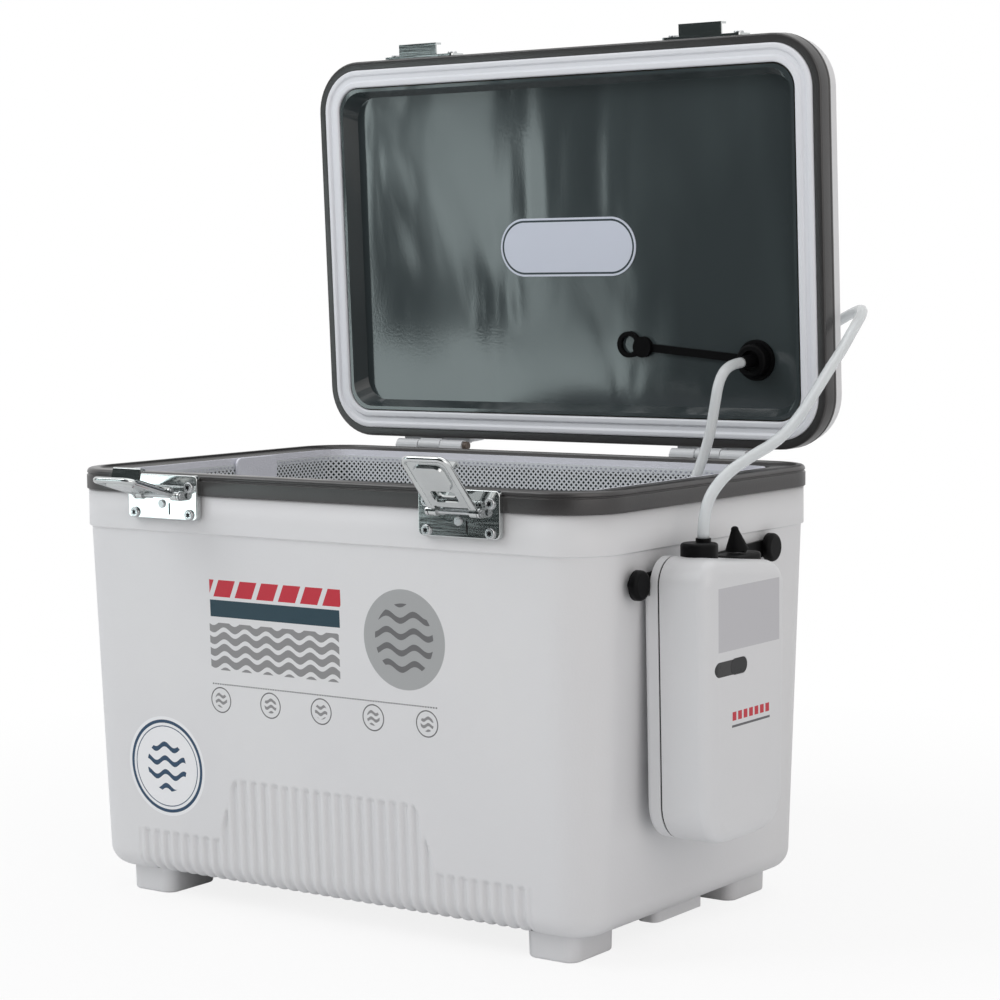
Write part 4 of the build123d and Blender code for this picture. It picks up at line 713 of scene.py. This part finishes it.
netPiece = makeNet(net)
netEnd = box["width"] / 2 - net["topInset"] - net["floorInset"]
netSide = box["depth"] / 2 - net["topInset"] - net["floorInset"]
floorX, floorY = np.meshgrid(np.linspace(-netEnd, netEnd, 30), np.linspace(-netSide, netSide, 16))
floorSpots = np.stack([floorX, floorY, np.full_like(floorX, net["floor"])], -1)
# the floor joins the wall as one sheet; its UV map is moved by 1, clear of the top seam
netFloor = gridMesh("netFloor", floorSpots, closed=False, uv=floorSpots[..., :2] + 1.0)
with bpy.context.temp_override(active_object=netPiece, selected_editable_objects=[netPiece, netFloor]):
    bpy.ops.object.join()
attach(netPiece, "box")
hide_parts("net_bag")
print("tub and net made")

# the studio: light levels, the floor's half size, and the distances over which it turns white
studio = {
    "world": 0.5,
    "camera": 1.0,
    "half": 6.0,
    "floor": (0.93, 0.93, 0.935),
    "near": 0.30,
    "far": 0.7,
    "glow": 0.85,  # how far the floor is white near the object
    "aim": (0, 0, 0.2),
    "cardTint": (0.86, 1.0, 1.0),
}
half = studio["half"]
floorCorners = np.array([[[-half, -half, 0], [half, -half, 0]], [[-half, half, 0], [half, half, 0]]])
floorMesh = gridMesh("floor", floorCorners, closed=False)


# a pale floor that glows for the camera only: by the glow's share near the object, where its
# shadow shows through, and wholly past the far distance; mirrors see the plain floor
def makeFloorMaterial(spec):
    material, tree, shader = newMaterial("paleFloor", spec["floor"], 0.75)
    shader.inputs["Specular IOR Level"].default_value = 0.1
    light = tree.nodes.new("ShaderNodeLightPath")
    glow = put(tree, "ShaderNodeEmission", Color=(1, 1, 1, 1), Strength=1.0)
    away = put(tree, "ShaderNodeVectorMath", {"operation": "LENGTH"}, n0=objectPlace(tree)).outputs["Value"]
    spread = clampRange(tree, away, spec["near"], spec["far"], spec["glow"], 1.0)
    seen = maths(tree, "MULTIPLY", light.outputs["Is Camera Ray"], spread)
    mix = put(tree, "ShaderNodeMixShader", n0=seen, n1=shader.outputs[0], n2=glow.outputs[0])
    showSurface(tree, mix)
    return material


floorMesh.data.materials.append(makeFloorMaterial(studio))


# white to the camera, to mirrors and through glass; a plain grey level for the light
def makeWorld(spec):
    world = bpy.data.worlds.new("studioWorld")
    world.use_nodes = True
    tree = world.node_tree
    back = tree.nodes["Background"]
    back.inputs["Color"].default_value = (1, 1, 1, 1)
    light = tree.nodes.new("ShaderNodeLightPath")
    seen = light.outputs["Is Camera Ray"]
    for ray in ("Is Transmission Ray", "Is Glossy Ray"):
        seen = maths(tree, "MAXIMUM", seen, light.outputs[ray])
    tree.links.new(clampRange(tree, seen, 0, 1, spec["world"], spec["camera"]), back.inputs["Strength"])
    scene.world = world


makeWorld(studio)
lamps = {
    "key": {"place": (-1.4, -1.5, 1.9), "size": 1.4, "power": 22, "tint": (0.96, 0.98, 1.0)},
    "fill": {"place": (1.9, -0.9, 1.1), "size": 1.6, "power": 8, "tint": (1.0, 0.92, 0.88)},
    "top": {"place": (0.1, 0.5, 2.2), "size": 1.8, "power": 10, "tint": (1.0, 1.0, 1.0)},
}
for name, spec in lamps.items():
    data = bpy.data.lights.new(name + "Lamp", "AREA")
    data.size = spec["size"]
    data.energy = spec["power"]
    data.color = spec["tint"]
    lamp = linked(name + "Lamp", data)
    away = np.array(spec["place"]) - np.array(studio["aim"])
    away /= np.linalg.norm(away)
    side = np.cross((0, 0, 1), away)
    side /= np.linalg.norm(side)
    lamp.matrix_world = axesMatrix(side, np.cross(away, side), away, spec["place"])
scene.view_settings.view_transform = "Standard"

# cards that only mirrors see: a dark one across the front, and light strips before it
cards = {
    "darkCard": {"x": (-3.0, 0.9), "z": (0.002, 1.5), "y": -1.30, "level": 0.05},
    "lowStrip": {"x": (-1.50, -0.80), "z": (0.005, 0.15), "y": -1.2, "level": 2.9},
    "edgeStrip": {"x": (-1.48, -1.222), "z": (0.15, 0.50), "y": -1.2, "level": 3.4},
    "paneA": {"x": (-1.13, -0.99), "z": (0.24, 0.47), "y": -1.2, "level": 2.6},
    "paneB": {"x": (-1.00, -0.93), "z": (0.16, 0.40), "y": -1.2, "level": 3.2},
    "paneC": {"x": (-0.90, -0.83), "z": (0.15, 0.27), "y": -1.2, "level": 1.5},
}


# an upright plane facing the object, that glows at one level
def makeCard(name, spec):
    (left, right), (low, high), y = spec["x"], spec["z"], spec["y"]
    corners = np.array([[[left, y, low], [right, y, low]], [[left, y, high], [right, y, high]]])
    card = gridMesh(name, corners, closed=False)
    material, tree, _ = newMaterial(name, studio["cardTint"], 1.0)
    glow = put(tree, "ShaderNodeEmission", Color=(*studio["cardTint"], 1), Strength=spec["level"])
    showSurface(tree, glow)
    card.data.materials.append(material)
    for ray in ("camera", "diffuse", "transmission", "shadow"):
        setattr(card, "visible_" + ray, False)


for name, spec in cards.items():
    makeCard(name, spec)
print("studio lit")

# print on the box's front, in metres: x and z give a middle and a half size, waves are their
# pitch, swell, length and share of line, and shares are of a radius or of a pitch
art = {
    "front": -0.09,  # the print lies where Y is under this
    "bars": {"x": (-0.0275, 0.0455), "z": (0.1788, 0.0046), "pitch": 0.0152, "lean": 0.45, "share": 0.78},
    "panel": {"x": (-0.028, 0.045), "z": (0.1678, 0.0046), "waves": (0.02, 0.0012, 0.012, 0.05)},
    "water": {"x": (-0.029, 0.045), "z": (0.147, 0.0130), "waves": (0.0065, 0.0016, 0.0150, 0.62)},
    "disc": {
        "spot": (0.059, 0.160),
        "radius": 0.0262,
        "inner": 0.72,
        "waves": (0.0085, 0.0018, 0.0175, 0.38),
    },
    "rings": {
        "x": (0.002, 0.080),
        "z": 0.1174,
        "pitch": 0.035,
        "shift": 1.0305,  # brings a ring's middle to X 0.002
        "radius": 0.0068,
        "line": 0.00035,
        "inner": 0.62,
        "waves": (0.0034, 0.0007, 0.0062, 0.5),
    },
    "dots": {"x": (0.003, 0.0765), "z": (0.1262, 0.0004), "pitch": 0.0017, "lean": 0.0, "share": 0.6},
    "badge": {
        "spot": (-0.1104, 0.0764),
        "radius": 0.0262,
        "line": 0.0009,
        "paper": 1.07,
        "thin": (0.86, 0.3),  # an inner ring: shares of the radius and of the line
        "inner": 0.55,
        "waves": (0.0078, 0.0016, 0.0135, 0.36),
    },
    "inks": {
        "Paper": (0.82, 0.83, 0.85),
        "Red": (0.52, 0.008, 0.028),
        "Teal": (0.003, 0.036, 0.058),
        "Grey": (0.25, 0.25, 0.255),
        "Disc": (0.37, 0.38, 0.385),
        "Dark": (0.13, 0.13, 0.135),
        "Navy": (0.010, 0.05, 0.11),
    },
}


# the print's masks from X and Z: blocks near a middle, discs and rings by the distance from a
# spot, and wavy lines where the height plus a sine of X is early in its step
def makeArtGroup(spec):
    group, _, leave = newGroup("printedArt", {}, {name: "Float" for name in spec["inks"]})
    x, y, z = splitPlace(group)
    front = maths(group, "LESS_THAN", y, spec["front"])

    def both(first, second):
        return maths(group, "MULTIPLY", first, second)

    def either(first, second):
        return maths(group, "MAXIMUM", first, second)

    def under(value, limit):
        return maths(group, "LESS_THAN", value, limit)

    def block(item):
        return both(within(group, x, *item["x"]), within(group, z, *item["z"]))

    def distance(spot, across=x):
        aside = maths(group, "SUBTRACT", across, spot[0])
        return flatLength(group, aside, maths(group, "SUBTRACT", z, spot[1]))

    def waves(item):
        pitch, swell, length, share = item["waves"]
        turn = maths(group, "SINE", maths(group, "MULTIPLY", x, 2 * math.pi / length))
        level = maths(group, "MULTIPLY_ADD", turn, swell, z)
        return under(stepShare(group, level, pitch, 0.0), share)

    # a block cut into steps along a leaning X
    def repeated(item):
        leaning = maths(group, "MULTIPLY_ADD", z, -item["lean"], x)
        return both(block(item), under(stepShare(group, leaning, item["pitch"]), item["share"]))

    panel, water, disc, rings, badge = (spec[key] for key in ("panel", "water", "disc", "rings", "badge"))
    toDisc = distance(disc["spot"])
    discWaves = both(under(toDisc, disc["radius"] * disc["inner"]), waves(disc))
    step = maths(group, "SUBTRACT", stepShare(group, x, rings["pitch"], rings["shift"]), 0.5)
    toRing = distance((0.0, rings["z"]), maths(group, "MULTIPLY", step, rings["pitch"]))
    row = within(group, x, *rings["x"])
    ring = both(within(group, toRing, rings["radius"], rings["line"]), row)
    ringWaves = both(both(under(toRing, rings["radius"] * rings["inner"]), row), waves(rings))
    toBadge = distance(badge["spot"])
    hoop = within(group, toBadge, badge["radius"] - badge["line"], badge["line"])
    thin = within(group, toBadge, badge["radius"] * badge["thin"][0], badge["line"] * badge["thin"][1])
    badgeWaves = both(under(toBadge, badge["radius"] * badge["inner"]), waves(badge))
    masks = {
        "Red": repeated(spec["bars"]),
        "Teal": both(block(panel), maths(group, "SUBTRACT", 1.0, waves(panel))),
        "Grey": either(both(block(water), waves(water)), ringWaves),
        "Disc": under(toDisc, disc["radius"]),
        "Dark": either(either(ring, repeated(spec["dots"])), discWaves),
        "Navy": either(either(hoop, thin), badgeWaves),
        "Paper": under(toBadge, badge["radius"] * badge["paper"]),
    }
    for name, mask in masks.items():
        group.links.new(both(mask, front), leave.inputs[name])
    return group


artGroup = makeArtGroup(art)


# lays an ink over a material's colour where a mask is 1
def layOver(material, mask, ink):
    tree = material.node_tree
    base = tree.nodes["Principled BSDF"].inputs["Base Color"]
    tree.links.new(blendColour(tree, mask, base.links[0].from_socket, ink), base)


# the shell's plastic with the print over it, ink by ink
def printed(material, spec):
    masks = useGroup(material.node_tree, artGroup)
    for name, ink in spec["inks"].items():
        layOver(material, masks.outputs[name], ink)
    return material


shellPlastic = {"colour": (0.72, 0.725, 0.735), "tint": (0.70, 0.705, 0.72), "roughness": 0.42}
whiteShell = printed(moulded("whiteShell", **shellPlastic), art)
plainShell = moulded("plainShell", **shellPlastic)
rimGrey = moulded(
    "rimGrey", (0.027, 0.025, 0.025), (0.034, 0.032, 0.032), 0.3, depth=0.15, Specular_IOR_Level=0.65
)
pan = {
    "dark": (0.042, 0.053, 0.056),
    "light": (0.056, 0.071, 0.074),
    "gloss": (0.05, 0.14),
    "stretch": (1.0, 1.0, 0.35),  # its waves are longer upwards
    "waves": {"Scale": 16.0, "Detail": 2.0, "Distortion": 0.6},
    "swell": {"Strength": 0.5, "Distance": 0.0022},
}


# glossy pan: slow noise waves its surface, so that reflections run in wavering streaks
def makePanMaterial(spec):
    material, tree, shader = newMaterial("slatePan", spec["dark"], 0.1, Specular_IOR_Level=0.75)
    grain = useGroup(tree, grainGroup, Depth=0.03, Fine=700.0)
    tall = put(tree, "ShaderNodeMapping", Vector=objectPlace(tree), Scale=spec["stretch"])
    slow = put(tree, "ShaderNodeTexNoise", Vector=tall.outputs[0], **spec["waves"])
    normal = grain.outputs["Normal"]
    wave = put(tree, "ShaderNodeBump", Height=slow.outputs[0], Normal=normal, **spec["swell"])
    film = clampRange(tree, slow.outputs[0], 0.4, 0.65)
    tint = blendColour(tree, film, spec["dark"], spec["light"])
    gloss = clampRange(tree, slow.outputs[0], 0.3, 0.7, *spec["gloss"])
    feed(shader, Base_Color=tint, Roughness=gloss, Normal=wave.outputs[0])
    return material


panSlate = makePanMaterial(pan)
paleRubber = moulded("paleRubber", (0.80, 0.82, 0.86), (0.77, 0.79, 0.83), 0.4)
blackPlastic = moulded(
    "blackPlastic", (0.003, 0.003, 0.0033), (0.0045, 0.0045, 0.005), 0.42, Specular_IOR_Level=0.09
)
blackRubber = moulded(
    "blackRubber", (0.003, 0.003, 0.0033), (0.005, 0.005, 0.0055), 0.55, depth=0.2, Specular_IOR_Level=0.08
)
pumpPlastic = {"colour": (0.70, 0.705, 0.72), "tint": (0.68, 0.69, 0.705), "roughness": 0.36}
pumpWhite = moulded("pumpWhite", **pumpPlastic)
# print on the pump, in metres, where X is over the front's; y and z give a middle and a half size
pumpArt = {
    "front": 0.2135,
    "marks": (
        {"y": (-0.0315, 0.0305), "z": (0.1745, 0.0160), "ink": (0.52, 0.52, 0.545)},
        {"y": (-0.030, 0.0190), "z": (0.1250, 0.0022), "ink": (0.52, 0.008, 0.028), "dash": (0.0055, 0.7)},
        {"y": (-0.030, 0.0190), "z": (0.1200, 0.0006), "ink": (0.10, 0.10, 0.11)},
        {"y": (-0.0495, 0.0117), "z": (0.1500, 0.0), "ink": (0.014, 0.014, 0.015), "round": 0.0038},
    ),
}


# the pump's front: a grey field, short red bars over a thin line, and a dark bar with round
# ends beside the window, where the distance from the bar's middle line is under its radius
def printedPump(material, spec):
    tree = material.node_tree
    x, y, z = splitPlace(tree)
    front = maths(tree, "GREATER_THAN", x, spec["front"])
    for item in spec["marks"]:
        if "round" in item:
            aside = maths(tree, "SUBTRACT", y, item["y"][0])
            over = maths(tree, "SUBTRACT", z, item["z"][0])
            mask = maths(tree, "LESS_THAN", barAway(tree, aside, over, item["y"][1]), item["round"])
        else:
            mask = maths(tree, "MULTIPLY", within(tree, y, *item["y"]), within(tree, z, *item["z"]))
        if "dash" in item:
            pitch, share = item["dash"]
            early = maths(tree, "LESS_THAN", stepShare(tree, y, pitch), share)
            mask = maths(tree, "MULTIPLY", mask, early)
        layOver(material, maths(tree, "MULTIPLY", mask, front), item["ink"])
    return material


pumpFront = printedPump(moulded("pumpFront", **pumpPlastic), pumpArt)
hingeWhite = moulded("hingeWhite", (0.72, 0.74, 0.76), (0.70, 0.72, 0.74), 0.4)
pinBrown = moulded("pinBrown", (0.09, 0.06, 0.045), (0.11, 0.08, 0.06), 0.5)
label = {
    "middle": (0, 0.116, 0.0105),  # on the lid: across, up, depth
    "straight": 0.0309,  # half length of its middle line
    "line": (0.01555, 0.0006),  # the dark line's distance from it and half width
    "ink": (0.02, 0.035, 0.045),
}


# a blank pale label with a thin dark line inside its edge, at one distance from its middle line
def makeLabelMaterial(spec):
    material = moulded("labelWhite", (0.66, 0.70, 0.80), (0.64, 0.68, 0.78), 0.3, depth=0.02)
    tree = material.node_tree
    place = objectPlace(tree)
    across = put(tree, "ShaderNodeSeparateXYZ", n0=place).outputs[0]
    middle = tuple(toLid(spec["middle"]))
    offset = put(tree, "ShaderNodeVectorMath", {"operation": "SUBTRACT"}, n0=place, n1=middle).outputs[0]
    over = put(tree, "ShaderNodeVectorMath", {"operation": "DOT_PRODUCT"}, n0=offset, n1=tuple(lidUp))
    away = barAway(tree, across, over.outputs["Value"], spec["straight"])
    layOver(material, within(tree, away, *spec["line"]), spec["ink"])
    return material


labelWhite = makeLabelMaterial(label)
foamCream = moulded("foamCream", (0.75, 0.70, 0.52), (0.70, 0.65, 0.48), 0.8, depth=0.5)
stoneGrey = moulded("stoneGrey", (0.25, 0.26, 0.28), (0.35, 0.36, 0.38), 0.9, depth=1.0, fine=1400.0)
cellJacket = moulded("cellJacket", (0.12, 0.13, 0.15), (0.14, 0.15, 0.17), 0.35)
windowGrey = moulded(
    "windowGrey", (0.012, 0.013, 0.014), (0.016, 0.016, 0.018), 0.3, Specular_IOR_Level=0.3
)
# the tub's colour: its dark grey plastic darkened further as painted shade, so the net's holes show dark
tubGreyWithPaintedShade = moulded("tubGreyWithPaintedShade", (0.012, 0.022, 0.026), (0.018, 0.028, 0.032), 0.4, depth=0.05)
chrome = metal("latchChrome", (0.58, 0.60, 0.60), (0.50, 0.52, 0.52), 0.10)
steel = metal("brushedSteel", (0.56, 0.57, 0.58), (0.46, 0.47, 0.48), 0.28)


# middles of a node's screws in X and Z: vertices near the first one left are one screw's, and
# its middle is halfway between their least and greatest
def headSpots(node, reach=0.007):
    left = np.empty(len(node.data.vertices) * 3)
    node.data.vertices.foreach_get("co", left)
    left = left.reshape(-1, 3)[:, ::2]
    spots = []
    while len(left):
        near = np.linalg.norm(left - left[0], axis=1) < reach
        spots.append((left[near].min(0) + left[near].max(0)) / 2)
        left = left[~near]
    return spots


# screw steel with painted shade in a six-lobed recess in each head: the radius at which a spot counts as
# shaded recess falls and rises with the cosine of six times the angle round the head's middle
def makeScrewMaterial(spots, radius=0.0013, lobe=0.0003, lobes=6.0):
    material = metal("screwSteel", (0.56, 0.57, 0.58), (0.46, 0.47, 0.48), 0.24)
    tree = material.node_tree
    x, _, z = splitPlace(tree)
    paintedRecessShade = 0.0
    for spot in spots:
        aside = maths(tree, "SUBTRACT", x, float(spot[0]))
        over = maths(tree, "SUBTRACT", z, float(spot[1]))
        angle = maths(tree, "ARCTAN2", over, aside)
        turn = maths(tree, "COSINE", maths(tree, "MULTIPLY", angle, lobes))
        edge = maths(tree, "MULTIPLY_ADD", turn, -lobe, radius)
        mask = maths(tree, "LESS_THAN", flatLength(tree, aside, over), edge)
        paintedRecessShade = maths(tree, "MAXIMUM", paintedRecessShade, mask)
    # the near-black laid over each recess is painted shade, not the steel's own colour
    layOver(material, paintedRecessShade, (0.02, 0.02, 0.022))
    return material


# soft clear hose: pale, a little see-through, with a thin gloss
def makeHoseMaterial(spec):
    colour = spec["colour"]
    material, tree, shader = newMaterial("clearHose", colour, 0.25, Transmission_Weight=0.25, IOR=1.41)
    grain = useGroup(tree, grainGroup, Depth=0.05, Fine=300.0)
    tint = blendColour(tree, grain.outputs["Mottle"], colour, spec["mottle"])
    feed(shader, Base_Color=tint, Normal=grain.outputs["Normal"])
    return material


clearHose = makeHoseMaterial(hose)


# knotted mesh: threads where either diagonal of the cloth's length map is near a whole pitch,
# see-through elsewhere, and solid cloth in the top seam
def makeMeshMaterial(spec):
    material, tree, shader = newMaterial("netMesh", (0.72, 0.75, 0.78), 0.7)
    grain = useGroup(tree, grainGroup, Depth=0.4, Fine=1500.0)
    feed(shader, Normal=grain.outputs["Normal"])
    flat = put(tree, "ShaderNodeUVMap", {"uv_map": "UVMap"}).outputs[0]
    u, v, _ = put(tree, "ShaderNodeSeparateXYZ", n0=flat).outputs
    solid = maths(tree, "LESS_THAN", v, spec["seam"])
    for operation in ("ADD", "SUBTRACT"):
        run = maths(tree, "DIVIDE", maths(tree, operation, u, v), spec["pitch"])
        thread = maths(tree, "LESS_THAN", maths(tree, "PINGPONG", run, 0.5), spec["thread"] / 2)
        solid = maths(tree, "MAXIMUM", solid, thread)
    clear = put(tree, "ShaderNodeBsdfTransparent")
    mix = put(tree, "ShaderNodeMixShader", n0=solid, n1=clear.outputs[0], n2=shader.outputs[0])
    showSurface(tree, mix)
    return material


netMesh = makeMeshMaterial(net)
hemWhite = moulded("hemWhite", (0.84, 0.85, 0.92), (0.80, 0.81, 0.88), 0.7, depth=0.4)

finishes = {
    "white_shell": plainShell, "rim_grey": rimGrey, "slate_liner": panSlate,
    "foam": foamCream, "white_gasket": paleRubber, "net_fabric": hemWhite,
    "latch_chrome": chrome, "steel": steel, "white_hinge": hingeWhite,
    "pin_brown": pinBrown, "pump_white": pumpWhite, "black_plastic": blackPlastic,
    "black_rubber": blackRubber, "hose_silicone": clearHose, "label_white": labelWhite,
    "window_grey": windowGrey, "cell_jacket": cellJacket, "motor_metal": steel,
    "air_stone": stoneGrey,
}


# gives a piece one material in place of those it had
def dress(piece, material):
    piece.data.materials.clear()
    piece.data.materials.append(material)


slotOf = {part["node"]: part["material_slot"] for part in frame["record"]["subparts"]}
for name, node in nodes.items():
    dress(node, finishes[slotOf[name]])
for piece, material in (
    (shellPiece, whiteShell),
    (rimPiece, rimGrey),
    (lidBandPiece, rimGrey),
    (lidShellPiece, plainShell),
    (tubPiece, tubGreyWithPaintedShade),
    (netPiece, netMesh),
    (gasketPiece, paleRubber),
    (hosePieces["outerHose"], clearHose),
    (hosePieces["innerHose"], clearHose),
):
    dress(piece, material)
dress(nodes["pump_front_case"], pumpFront)
plateScrews = nodes["latch_plate_screws"]
dress(plateScrews, makeScrewMaterial(headSpots(plateScrews)))
print("materials set")
